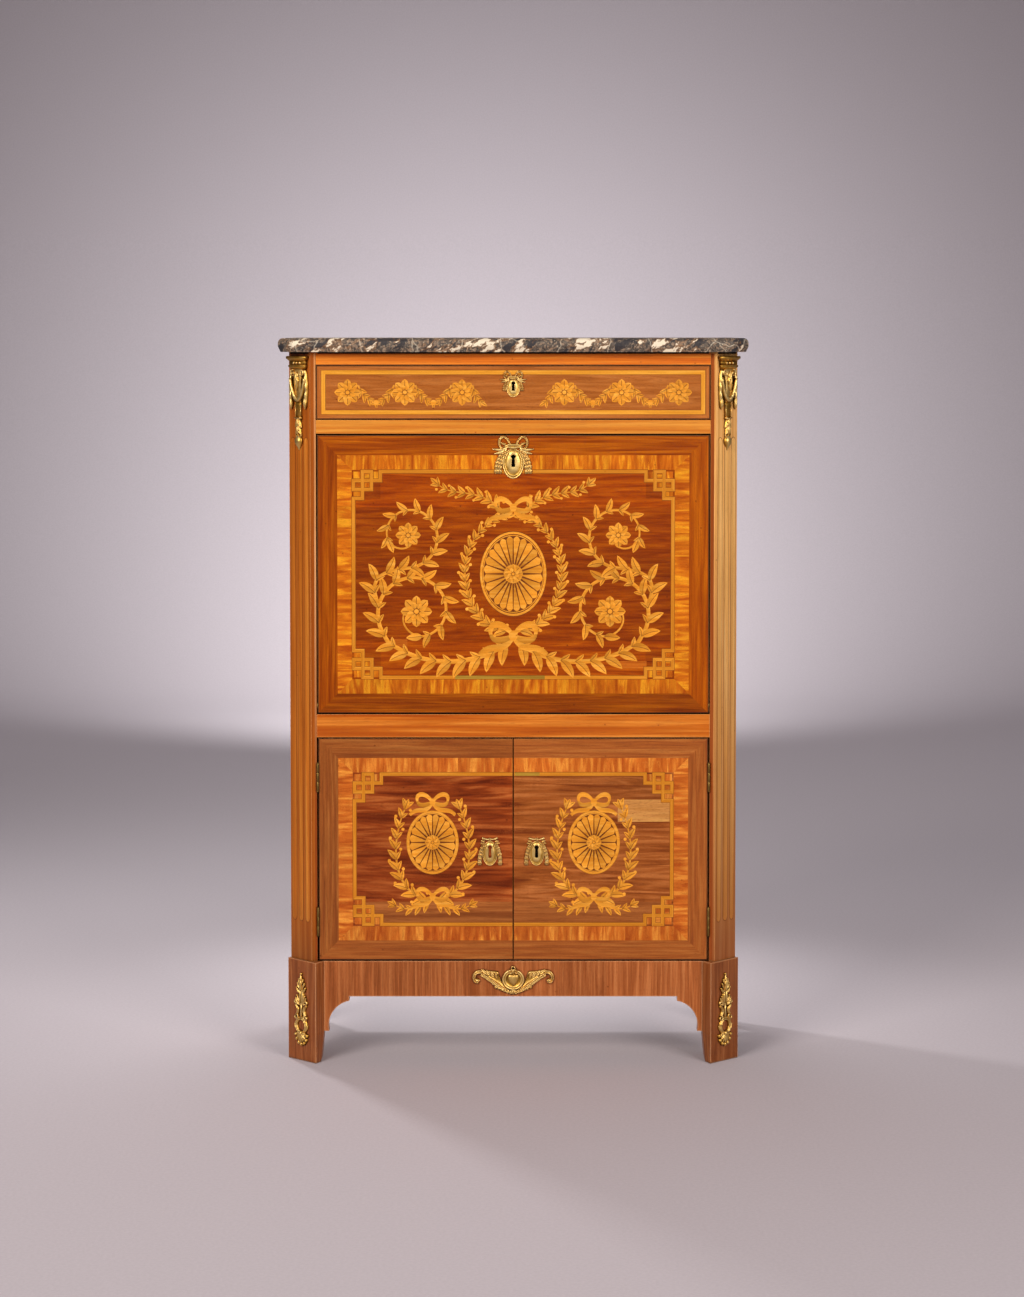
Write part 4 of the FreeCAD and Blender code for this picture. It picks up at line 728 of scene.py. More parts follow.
# Face slots: a piece's own finish, and the second one that some pieces have.
MAIN, SECOND = 0, 1
# Overlapping veneers take turns on so many levels, each a hair over the last.
LEVELS = 64
LEVEL_RISE = 0.005


def rise_of(section: Section, s: float) -> float:
    """Gives how high a bronze strip stands at a place across it.

    Args:
        section: the strip's shape.
        s: the place, from -1 at one edge to 1 at the other.

    Returns:
        The height as a share of the strip's own height.
    """
    dome = math.sqrt(max(0.0, 1 - s * s))
    if section is Section.LEAF:
        return dome * (1 - 0.6 * math.exp(-((s / 0.2) ** 2)))
    if section is Section.REED:
        return 0.35 + 0.65 * abs(math.cos(1.5 * math.pi * s)) * (1 if abs(s) < 1 else 0)
    if section is Section.FLAT:
        return min(1.0, 3.2 * (1 - abs(s)))
    if section is Section.DISH:
        return (0.45 + 0.55 * s * s) * min(1.0, 8 * (1 - abs(s)))
    return dome


def bowed(root: Point, tip: Point, bend: float, count: int) -> list[Point]:
    """Draws the middle line of a leaf.

    Args:
        root: its start.
        tip: its end.
        bend: how far the middle is pushed to the left.
        count: how many points to give.

    Returns:
        The points.
    """
    a, b = Vector(root), Vector(tip)
    way = (b - a).normalized()
    middle = (a + b) / 2 + Vector((-way.y, way.x)) * bend * 2
    return curve(root, (middle.x, middle.y), tip, count=count)


class Shape:
    """A mesh in the making, of closed shells laid on one plane.

    The next shell goes to the face slot in slot, and cut is the number that picks its figure in the wood.
    """

    def __init__(self, plane: Plane) -> None:
        """Starts an empty mesh on a plane.

        Args:
            plane: where u, v and w are measured from.
        """
        self.plane = plane
        self.points: list[Vector] = []
        self.faces: list[tuple[int, ...]] = []
        self.tones: list[float] = []
        self.cuts: list[float] = []
        self.slots: list[int] = []
        self.cut = 0.0
        self.slot = MAIN
        self.laid = 0

    def layer(self) -> float:
        """Gives a rise that differs from piece to piece, so that veneers that overlap never share a level."""
        self.laid += 1
        return LEVEL_RISE * (1 + self.laid % LEVELS)

    def restart(self, pieces: int) -> None:
        """Goes back to the lowest level if the next pieces would not fit above one another."""
        if self.laid % LEVELS + pieces >= LEVELS - 1:
            self.laid += LEVELS - self.laid % LEVELS

    def rings(self, rings: Sequence[Sequence[RingPoint]], cyclic: bool = False) -> None:
        """Skins a row of rings into a closed shell.

        Args:
            rings: each ring's points as u, v, w and tone, all rings with as many points.
            cyclic: whether the last ring joins the first; otherwise both ends are capped.
        """
        base, size, count = len(self.points), len(rings[0]), len(rings)
        for ring in rings:
            for u, v, w, tone in ring:
                self.points.append(self.plane.at(u, v, w))
                self.tones.append(tone)
                self.cuts.append(self.cut)
        made = []
        for r in range(count if cyclic else count - 1):
            here, there = base + r * size, base + (r + 1) % count * size
            for i in range(size):
                j = (i + 1) % size
                made.append((here + i, here + j, there + j, there + i))
        if not cyclic:
            made.append(tuple(range(base + size - 1, base - 1, -1)))
            made.append(tuple(range(base + (count - 1) * size, base + count * size)))
        self.faces += made
        self.slots += [self.slot] * len(made)

    def prism(self, outline: Path, top: float, tone: Tone = 0.0) -> None:
        """Lays a flat piece with upright edges.

        Args:
            outline: its corners.
            top: how far its face stands out.
            tone: how light it is, the same all over or by place.
        """
        area = sum(a[0] * b[1] - b[0] * a[1] for a, b in zip(outline, [*outline[1:], outline[0]]))
        corners = list(outline) if area > 0 else list(reversed(outline))
        shade = tone if callable(tone) else (lambda u, v: tone)
        self.rings([[(u, v, w, shade(u, v)) for u, v in corners] for w in (BED, top)])

    def strip(
        self, path: Path, widths: Measure, top: float, tones: Point = (0.0, 0.0),
        closed: bool = False,
    ) -> None:
        """Lays a flat strip along a path, with mitred corners.

        Args:
            path: its middle line.
            widths: its width, or one width for each point.
            top: how far its face stands out.
            tones: how light its left and right edges are.
            closed: whether it joins up.
        """
        rings = []
        for (here, left), width in zip(sides_of(path, closed), for_each(widths, len(path))):
            a, b = here + left * width / 2, here - left * width / 2
            rings.append([
                (*a, BED, tones[0]), (*a, top, tones[0]), (*b, top, tones[1]), (*b, BED, tones[1]),
            ])
        self.rings(rings, cyclic=closed)

    def relief(
        self, path: Path, widths: Measure, heights: Measure,
        section: Section = Section.DOME, base: float = 0.0, closed: bool = False,
    ) -> None:
        """Models a raised strip of bronze along a path.

        Args:
            path: its middle line.
            widths: its full width, or one for each point.
            heights: how far its middle stands out, or one for each point.
            section: its shape across.
            base: what it stands on.
            closed: whether it joins up.
        """
        lefts, rights = [], []
        for (here, left), width in zip(sides_of(path, closed), for_each(widths, len(path))):
            lefts.append(tuple(here + left * width / 2))
            rights.append(tuple(here - left * width / 2))
        self.band(lefts, rights, heights, section, base, closed)

    def band(
        self, lefts: Path, rights: Path, heights: Measure,
        section: Section = Section.DOME, base: float = 0.0, closed: bool = False,
    ) -> None:
        """Models a raised strip of bronze between two edges.

        Args:
            lefts: its left edge.
            rights: its right edge, point for point.
            heights: how far its middle stands out, or one for each point.
            section: its shape across.
            base: what it stands on.
            closed: whether it joins up.
        """
        rings = []
        for left, right, height in zip(lefts, rights, for_each(heights, len(lefts))):
            ring = [(*left, base - BACKING, -1.0)]
            for step in range(ACROSS + 1):
                s = 1 - 2 * step / ACROSS
                rise = rise_of(section, s)
                spot = Vector(left).lerp(Vector(right), step / ACROSS)
                ring.append((spot.x, spot.y, base + height * rise, min(1.0, 1.9 * rise - 1.0)))
            ring.append((*right, base - BACKING, -1.0))
            rings.append(ring)
        self.rings(rings, cyclic=closed)

    def ball(self, spot: Point, base: float, radius: float, height: float, tone: float = 0.7) -> None:
        """Models a round boss.

        Args:
            spot: its middle.
            base: what it stands on.
            radius: its radius on the face.
            height: how far it stands out.
            tone: how bright its crown is.
        """
        rings = []
        for rise in (-BACKING / height, 0.0, 0.35, 0.65, 0.87, 0.99):
            reach = radius * math.sqrt(max(0.0, 1 - max(rise, 0.0) ** 2))
            level = -1 + (1 + tone) * max(rise, 0.0)
            rings.append([(*p, base + height * rise, level) for p in oval(spot, reach, reach, 12)])
        self.rings(rings)

    def stack(self, levels: Sequence[tuple[float, float, float]], face: float = 0.5) -> None:
        """Models a moulded block from level rectangles about the middle line.

        Args:
            levels: its v, half width and depth from top to bottom.
            face: how bright its face is.
        """
        rings = []
        for v, half, depth in levels:
            ease = min(1.2, half / 3, depth / 3)
            side = [(half, -BACKING, -0.8), (half, depth - ease, face - 0.4), (half - ease, depth, face)]
            ring = [(-u, v, w, tone) for u, w, tone in side]
            rings.append(ring + [(u, v, w, tone) for u, w, tone in reversed(side)])
        self.rings(rings)

    def leaf(
        self, root: Point, tip: Point, width: float, height: float, bend: float = 0.0, lobes: int = 0,
        base: float = 0.0,
    ) -> None:
        """Models a bronze leaf.

        Args:
            root: where it grows from.
            tip: where it ends.
            width: its greatest width.
            height: how far it stands out.
            bend: how far its middle is pushed to the left.
            lobes: how many notches it has on each side.
            base: what it stands on.
        """
        count = 10 if not lobes else 6 * lobes + 1
        path = bowed(root, tip, bend, count)
        widths, heights = [], []
        for step in range(count):
            t = step / (count - 1)
            swell = max(math.sin(math.pi * t ** 0.75), 0.0) ** 0.8
            notch = 1 - 0.34 * (0.5 + 0.5 * math.cos(2 * math.pi * lobes * t)) if lobes else 1.0
            widths.append(max(width * swell * notch, 0.5))
            heights.append(height * (0.35 + 0.65 * math.sin(math.pi * min(1.0, 0.15 + 0.8 * t))))
        self.relief(path, widths, heights, Section.LEAF, base)

    def finish(
        self, name: str, body: str, materials: Sequence[Material],
        stands_for: Sequence[str] = (), smooth: bool = False,
    ) -> None:
        """Makes the object, and has it ride on its body.

        Args:
            name: the piece's name.
            body: the CAD body that carries it.
            materials: the finishes, in the order of the face slots.
            stands_for: the CAD nodes that it replaces.
            smooth: whether its faces are shaded smooth.
        """
        mesh = bpy.data.meshes.new(name)
        mesh.from_pydata(self.points, [], self.faces)
        for material in materials:
            mesh.materials.append(material)
        mesh.polygons.foreach_set("material_index", self.slots)
        mesh.polygons.foreach_set("use_smooth", [smooth] * len(self.faces))
        for key, values in (("tone", self.tones), ("cut", self.cuts)):
            mesh.attributes.new(key, "FLOAT", "POINT").data.foreach_set("value", values)
        draft = bmesh.new()
        draft.from_mesh(mesh)
        bmesh.ops.recalc_face_normals(draft, faces=draft.faces)
        draft.to_mesh(mesh)
        draft.free()
        piece = bpy.data.objects.new(name, mesh)
        bpy.context.scene.collection.objects.link(piece)
        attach(piece, body)
        if stands_for:
            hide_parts(*stands_for)
        LOG.info("%s: %d faces on %s", name, len(self.faces), body)

    def finish_inlay(self, name: str, body: str) -> None:
        """Makes an inlay of boxwood, whose second face slot is for graved lines."""
        self.finish(name, body, [wood.material(Grain.X) for wood in INLAY_WOODS])

    def finish_cast(self, node: str, body: str, *more: Metal) -> None:
        """Makes a gilt bronze casting, with more metals for its other face slots, in place of a CAD node."""
        finishes = [metal.material() for metal in (GILT_BRONZE, *more)]
        self.finish(f"{node}_cast", body, finishes, [node], smooth=True)


def husk(
    shape: Shape, root: Point, tip: Point, width: float, bend: float = 0.0, tone: float = 0.0,
    belly: float = 0.8, vein: float = 0.9,
) -> None:
    """Inlays a leaf or petal in two halves, one in shade, with a graved vein between them.

    Args:
        shape: the inlay.
        root: where it grows from.
        tip: where it ends.
        width: its greatest width.
        bend: how far its middle is pushed to the left.
        tone: how light it is.
        belly: where it is widest, below one towards the root and above one towards the tip.
        vein: the width of the vein, or nought for none.
    """
    count = 9
    line = sides_of(bowed(root, tip, bend, count), False)
    shares = [(i / (count - 1)) ** belly for i in range(count)]
    swells = [width / 2 * max(math.sin(math.pi * share), 0.0) ** 0.8 for share in shares]
    start, way = Vector(root), Vector(tip) - Vector(root)
    top = MOTIF_TOP + shape.layer()

    def shaded(low: float, high: float) -> Shading:
        """Gives a tone that grows from the root to the tip."""
        span, size = high - low, way.length_squared
        return lambda u, v: tone + low + span * max(0.0, (Vector((u, v)) - start).dot(way) / size)

    middle = [(p.x, p.y) for p, _ in line]
    for sign, ends in ((1, (-0.75, 0.05)), (-1, (-0.25, 0.3))):
        edge = [(p + left * sign * swell) for (p, left), swell in zip(line, swells)]
        outline = middle + [(p.x, p.y) for p in reversed(edge[1:-1])]
        shape.prism(outline, top, shaded(*ends))
    if vein:
        shape.slot = SECOND
        shape.strip(middle[:-1], vein, top + SEAM_RISE)
        shape.slot = MAIN


@dataclass(frozen=True)
class Sprig:
    """How a spray of laurel is cut.

    Leaf is the length of the largest leaf, gap the distance from pair to pair, stem the stem's width at its
    start and end, and berry a radius, or nought for none. A leaf inside the stem's bend has inner of the size
    of the one outside it, and a leaf has wide of its length as its width.
    """

    leaf: float
    gap: float
    stem: Point
    lean_deg: float
    inner: float
    berry: float = 0.0
    wide: float = 0.42


def spray(shape: Shape, path: Path, sprig: Sprig) -> None:
    """Inlays a stem with leaves in pairs and berries between them.

    Args:
        shape: the inlay.
        path: the stem's line.
        sprig: how it is cut.
    """
    leaf, gap, stem, wide, berry = sprig.leaf, sprig.gap, sprig.stem, sprig.wide, sprig.berry
    count = len(path)
    widths = [stem[0] + (stem[1] - stem[0]) * i / (count - 1) for i in range(count)]
    shape.strip(path, widths, MOTIF_TOP - SEAM_RISE * (1 + shape.laid % 7), (-0.5, 0.1))
    steps = [Vector(b) - Vector(a) for a, b in zip(path, path[1:])]
    total = sum(step.length for step in steps)
    run, due, number = 0.0, gap * 0.6, 0
    for i, step in enumerate(steps):
        ahead = steps[min(i + 1, len(steps) - 1)]
        bending = step.x * ahead.y - step.y * ahead.x
        while run + step.length >= due:
            spot = Vector(path[i]) + step * ((due - run) / step.length)
            for sign in (1, -1):
                size = leaf * (1 - 0.35 * due / total) * (sprig.inner if sign * bending > 0 else 1.0)
                turn = math.radians(sign * sprig.lean_deg)
                c, s = math.cos(turn), math.sin(turn)
                way = Vector((step.x * c - step.y * s, step.x * s + step.y * c)).normalized()
                shape.cut += 0.731
                husk(
                    shape, tuple(spot), tuple(spot + way * size), size * wide, -sign * size * 0.07,
                    0.12 * math.sin(7.1 * number + sign),
                )
                if berry and number % 2 == (sign > 0):
                    bead = spot + way * size * 0.3 + Vector((-way.y, way.x)) * sign * size * 0.42
                    shape.prism(oval(tuple(bead), berry, berry, 10), KNOT_TOP + shape.layer() / 4, 0.25)
            number += 1
            due += gap
        run += step.length
    end, last = Vector(path[-1]), steps[-1].normalized()
    husk(shape, tuple(end - last * leaf * 0.1), tuple(end + last * leaf * 0.6), leaf * wide * 0.8)


def rosette(shape: Shape, centre: Point, radius: float, petals: int) -> None:
    """Inlays a flower seen from the front.

    Args:
        shape: the inlay.
        centre: its middle.
        radius: its radius.
        petals: how many petals it has.
    """
    shape.restart(2 * petals)
    for ring, (reach, tone) in enumerate(((1.0, -0.1), (0.64, 0.12))):
        for n in range(petals):
            angle = 2 * math.pi * (n + 0.5 * ring) / petals
            way = Vector((math.cos(angle), math.sin(angle)))
            root, tip = Vector(centre) + way * radius * 0.1, Vector(centre) + way * radius * reach
            shape.cut += 0.377
            wide, vein = radius * reach * 4.4 / petals, 0 if ring else radius * 0.035
            husk(shape, tuple(root), tuple(tip), wide, 0, tone, 1.5, vein)
    shape.slot = SECOND
    shape.prism(oval(centre, radius * 0.2, radius * 0.2, 16), KNOT_TOP)
    shape.slot = MAIN
    shape.prism(oval(centre, radius * 0.155, radius * 0.155, 16), DETAIL_TOP, 0.2)


def patera(shape: Shape, centre: Point, half_width: float, half_height: float, rays: int) -> None:
    """Inlays an oval fan of shaded rays inside two rings.

    Args:
        shape: the inlay.
        centre: its middle.
        half_width: half its width.
        half_height: half its height.
        rays: how many rays it has.
    """
    def spot(angle: float, share: float) -> Point:
        """Gives a place in the oval."""
        across, up = half_width * share, half_height * share
        return centre[0] + across * math.cos(angle), centre[1] + up * math.sin(angle)

    def fading(bright: float) -> Shading:
        """Gives a tone that grows from the hub to the rim."""
        x, y = centre
        return lambda u, v: bright - 0.85 + math.hypot((u - x) / half_width, (v - y) / half_height)

    shape.slot = SECOND
    shape.prism(oval(centre, half_width * 1.03, half_height * 1.03), OUTLINE_TOP)
    shape.slot = MAIN
    for n in range(rays):
        a, b = 2 * math.pi * n / rays, 2 * math.pi * (n + 1) / rays
        gap = 0.045 * (b - a)
        wide = b - a - 2 * gap
        rim = [spot(a + gap + wide * i / 6, 0.84 + 0.065 * math.sin(math.pi * i / 6)) for i in range(7)]
        shape.cut += 0.613
        shape.prism([spot((a + b) / 2, 0.2), *rim], MOTIF_TOP, fading(0.14 if n % 2 else -0.08))
    for share, width in ((0.985, 4.4), (0.925, 1.6)):
        ring = oval(centre, half_width * share, half_height * share)
        shape.strip(ring, width, MOTIF_TOP, (0.2, -0.2), True)
    shape.prism(oval(centre, half_width * 0.29, half_width * 0.29, 24), MOTIF_TOP + HUB_RISE, -0.5)
    rosette(shape, centre, half_width * 0.3, 8)


def bow(shape: Shape, knot: Point, size: float) -> None:
    """Inlays a ribbon bow with two loops and two fluttering ends.

    Args:
        shape: the inlay.
        knot: its middle.
        size: the reach of a loop.
    """
    u, v = knot
    for side in (-1, 1):
        for rise, (shares, tones, slim) in enumerate((
            (((0, 0), (0.5, -0.95), (0.9, -0.2), (1.5, -0.85)), (-0.35, 0.2), 0.7),
            (((1, 0.06), (0.86, -0.34), (0.4, -0.2), (0, 0)), (-0.75, -0.2), 0.5),
            (((0, 0), (0.45, 0.72), (1.15, 0.62), (1, 0.06)), (-0.1, 0.3), 0.5),
        )):
            line = [(u + size * a, v + size * b) for a, b in shares]
            path = mirrored(curve(*line, count=14), side, u)
            widths = [size * 0.3 * (slim + (1 - slim) * math.sin(math.pi * i / 13)) for i in range(14)]
            shape.cut += 0.517
            top = KNOT_TOP + 2 * SEAM_RISE * (2 * rise + (side > 0))
            shape.strip(path, widths, top, tones if side > 0 else tones[::-1])
    shape.prism(oval(knot, size * 0.2, size * 0.24, 16), DETAIL_TOP + CROSSING_RISE, 0.15)


def rectangle(left: float, right: float, low: float, high: float) -> list[Point]:
    """Gives the corners of a rectangle from its edges."""
    return [(left, low), (right, low), (right, high), (left, high)]


class Face(IntEnum):
    """The face slots of a framed panel, in the order of its finishes."""

    BORDER = 0
    BORDER_UPRIGHT = 1
    BAND = 2
    BAND_UPRIGHT = 3
    GROUND = 4
    LINE = 5
    LINE_UPRIGHT = 6
    # The near-black painted shadow along the panel's edge.
    ARRIS = 7
    SEAM = 8
    FIRST_PATCH = 9


@dataclass(frozen=True)
class Patch:
    """A piece of veneer let in by a restorer, given by its edges in millimetres."""

    left: float
    right: float
    low: float
    high: float
    wood: Wood
    top: float = CELL_TOP


@dataclass(frozen=True)
class Fade:
    """A part of a ground that is lighter or darker than the rest: its edges in millimetres, and its tone at
    left and right.
    """

    left: float
    right: float
    low: float
    high: float
    start: float
    end: float

    def tone(self, u: float, v: float) -> float:
        """Gives how much lighter the ground is at a place."""
        return self.start + (self.end - self.start) * (u - self.left) / (self.right - self.left)


@dataclass
class FramedPanel:
    """A panel veneered with a mitred border, a crossband, a boxwood line and a dark ground.

    The frames stop short of an open side, where two doors meet: -1 for the left edge and 1 for the right one.
    Tones are those of the border's low, top, left and right pieces, and key_unit is the step of the keys.
    """

    name: str
    body: str
    plane: Plane
    left: float
    right: float
    low: float
    high: float
    ground: Wood
    border: float = 39.0
    band: float = 28.6
    line: float = 6.8
    key_unit: float = 17.6
    open_side: int = 0
    keyhole: Point | None = None
    inset: float = 0.5
    slit: float = 5.5
    slit_reach: float = 17.0
    border_wood: Wood = FALL_BORDER
    band_wood: Wood = TULIPWOOD_BAND
    level: Grain = Grain.X
    patches: tuple[Patch, ...] = ()
    fades: tuple[Fade, ...] = ()
    tones: tuple[float, float, float, float] = (0.0, 0.0, 0.0, 0.0)
    band_low_tone: float = 0.0
    line_wood: Wood = BOXWOOD_LINE
    # The width of the near-black painted shadow along the panel's edge.
    arris: float = 1.2
    seam: float = 1.5
    cell_tone: float = -0.28

    def box(self, depth: float) -> tuple[float, float, float, float]:
        """Gives the edges at a depth inside the panel; an open side has no depth.

        Args:
            depth: the distance from the panel's own edges.

        Returns:
            The left, right, low and high edge.
        """
        deep = max(depth, self.inset)
        left, right = (self.inset if self.open_side == side else deep for side in (-1, 1))
        return self.left + left, self.right - right, self.low + deep, self.high - deep

    def slit_free(self, outline: Path) -> list[list[Point]]:
        """Splits a level piece where the keyhole goes through it.

        Args:
            outline: four corners: outer left, outer right, inner right and inner left.

        Returns:
            The piece, or the two pieces beside the keyhole.
        """
        a, b, c, d = outline
        if not self.keyhole or not min(a[1], d[1]) < self.keyhole[1] < max(a[1], d[1]):
            return [list(outline)]
        west, east = self.keyhole[0] - self.slit, self.keyhole[0] + self.slit
        return [[a, (west, a[1]), (west, d[1]), d], [(east, b[1]), b, c, (east, c[1])]]

    def frame_pieces(
        self, outer: float, inner: float, tones: Sequence[float]
    ) -> list[tuple[list[Point], bool, float]]:
        """Lays out one mitred frame.

        Args:
            outer: the depth of its outer edge.
            inner: the depth of its inner edge.
            tones: how light its low, top, left and right pieces are.

        Returns:
            Each piece's corners, whether it is a level one, and its tone.
        """
        (l0, r0, b0, t0), (l1, r1, b1, t1) = self.box(outer), self.box(inner)
        low, top, left, right = tones
        pieces = [([(l0, b0), (r0, b0), (r1, b1), (l1, b1)], True, low)]
        pieces += [(part, True, top) for part in self.slit_free([(l0, t0), (r0, t0), (r1, t1), (l1, t1)])]
        if self.open_side != -1:
            pieces.append(([(l0, b0), (l1, b1), (l1, t1), (l0, t0)], False, left))
        if self.open_side != 1:
            pieces.append(([(r0, b0), (r1, b1), (r1, t1), (r0, t0)], False, right))
        return pieces

    def ground_pieces(self, depth: float) -> list[list[Point]]:
        """Lays out the ground in rectangles that leave the keyhole free.

        Args:
            depth: the depth of its edges.

        Returns:
            The corners of each rectangle.
        """
        l, r, b, t = self.box(depth)
        if not self.keyhole or not b < self.keyhole[1] < t:
            return [rectangle(l, r, b, t)]
        u, v = self.keyhole
        west, east, under, over = u - self.slit, u + self.slit, v - self.slit_reach, v + self.slit_reach
        spans = ((l, west, b, t), (east, r, b, t), (west, east, b, under), (west, east, over, t))
        return [rectangle(*span) for span in spans]

    def corners(self) -> list[tuple[float, float, int, int]]:
        """Finds the corners of the boxwood line.

        Returns:
            The corners against the clock from the top right: u, v and the ways inward.
        """
        l, r, b, t = self.box(self.border + self.band + self.line / 2)
        made = [(r, t, -1, -1), (l, t, 1, -1), (l, b, 1, 1), (r, b, -1, 1)]
        if self.open_side == 1:
            return made[1:3]
        return [made[3], made[0]] if self.open_side == -1 else made

    def line_path(self) -> list[Point]:
        """Draws the boxwood line, with a Greek key at each corner if the panel has them.

        Returns:
            The line's points, from open end to open end or all round.
        """
        key = ((0, 0),)
        if self.key_unit:
            key = ((3, 0), (3, 1), (0, 1), (0, 2), (2, 2), (2, 0), (1, 0), (1, 3), (0, 3))
        path: list[Point] = []
        for u, v, right, up in self.corners():
            turned = key if right * up < 0 else key[::-1]
            path += [(u + right * a * self.key_unit, v + up * b * self.key_unit) for a, b in turned]
        if self.open_side:
            edge = self.box(0)[1] if self.open_side == 1 else self.box(0)[0]
            path = [(edge, path[0][1]), *path, (edge, path[-1][1])]
        return path

    def line_pieces(self, width: float) -> list[tuple[list[Point], bool]]:
        """Cuts the boxwood line into mitred pieces.

        Args:
            width: the line's width.

        Returns:
            Each piece's corners, and whether it is a level one.
        """
        closed = not self.open_side
        stations = sides_of(self.line_path(), closed)
        pieces = []
        for (a, left_a), (b, left_b) in zip(stations, stations[1:] + stations[: int(closed)]):
            half_a, half_b = left_a * width / 2, left_b * width / 2
            corners = [tuple(corner) for corner in (a + half_a, a - half_a, b - half_b, b + half_b)]
            pieces.append((corners, abs(b.x - a.x) > abs(b.y - a.y)))
        return pieces

    def lay_frames(self, shape: Shape) -> None:
        """Lays the painted shadow along the arris, the border and the crossband.

        Args:
            shape: the marquetry.
        """
        # The outermost strip, arris wide, is near black: painted shadow of the gap round the panel.
        rim = self.inset + self.arris
        frames = [
            (0.0, rim, (Face.ARRIS, Face.ARRIS), self.tones),
            (rim, self.border, (Face.BORDER, Face.BORDER_UPRIGHT), self.tones),
        ]
        if self.band:
            tones = (self.band_low_tone, 0.0, 0.0, 0.0)
            frames.append((self.border, self.border + self.band, (Face.BAND, Face.BAND_UPRIGHT), tones))
        cuts = 0
        for outer, inner, faces, tones in frames:
            for outline, level, tone in self.frame_pieces(outer, inner, tones):
                cuts += 1
                shape.cut = 3.17 * cuts
                shape.slot = faces[0 if level else 1]
                shape.prism(outline, GROUND_TOP, tone)

    def lay_cells(self, shape: Shape) -> None:
        """Lays the square cells in the Greek keys, with their fibres level and upright in turn.

        Args:
            shape: the marquetry.
        """
        unit = self.key_unit
        for u, v, right, up in self.corners() if unit else []:
            for a, b in ((0, 0), (1, 0), (2, 0), (0, 1), (1, 1), (0, 2)):
                west, south = u + right * a * unit, v + up * b * unit
                shape.cut += 0.91
                shape.slot = (Face.BAND, Face.BAND_UPRIGHT)[(a + b) % 2]
                outline = rectangle(west, west + right * unit, south, south + up * unit)
                shape.prism(outline, CELL_TOP, self.cell_tone if a + b else 0.0)

    def build(self) -> None:
        """Lays the frames, the ground, the key cells, the line and the repairs."""
        shape = Shape(self.plane)
        self.lay_frames(shape)
        shape.cut, shape.slot = 1.9, Face.GROUND
        for outline in self.ground_pieces(self.border + self.band):
            shape.prism(outline, GROUND_TOP)
        for fade in self.fades:
            shape.prism(rectangle(fade.left, fade.right, fade.low, fade.high), FADE_TOP, fade.tone)
        self.lay_cells(shape)
        shape.cut = 0.4
        for width, top, faces in (
            (self.line + self.seam, OUTLINE_TOP, (Face.SEAM, Face.SEAM)),
            (self.line, LINE_TOP, (Face.LINE, Face.LINE_UPRIGHT)),
        ):
            for outline, level in self.line_pieces(width):
                shape.slot = faces[0 if level else 1]
                # Upright pieces lie a hair over the level ones that they cross.
                shape.prism(outline, top + (0.0 if level else CROSSING_RISE))
        for number, patch in enumerate(self.patches):
            shape.slot, shape.cut = Face.FIRST_PATCH + number, 2.7 * number
            shape.prism(rectangle(patch.left, patch.right, patch.low, patch.high), patch.top)
        along, upright = self.level, Grain.Z
        # The crossband's fibres run across its pieces, so its level pieces have upright fibres.
        finishes = [
            (self.border_wood, along), (self.border_wood, upright), (self.band_wood, upright),
            (self.band_wood, along), (self.ground, along), (self.line_wood, along), (self.line_wood, upright),
            (SHADOW_EDGE, along), (GRAVED_LINE, along), *((patch.wood, along) for patch in self.patches),
        ]
        woods = [wood.material(grain) for wood, grain in finishes]
        shape.finish(f"{self.name}_marquetry", self.body, woods)


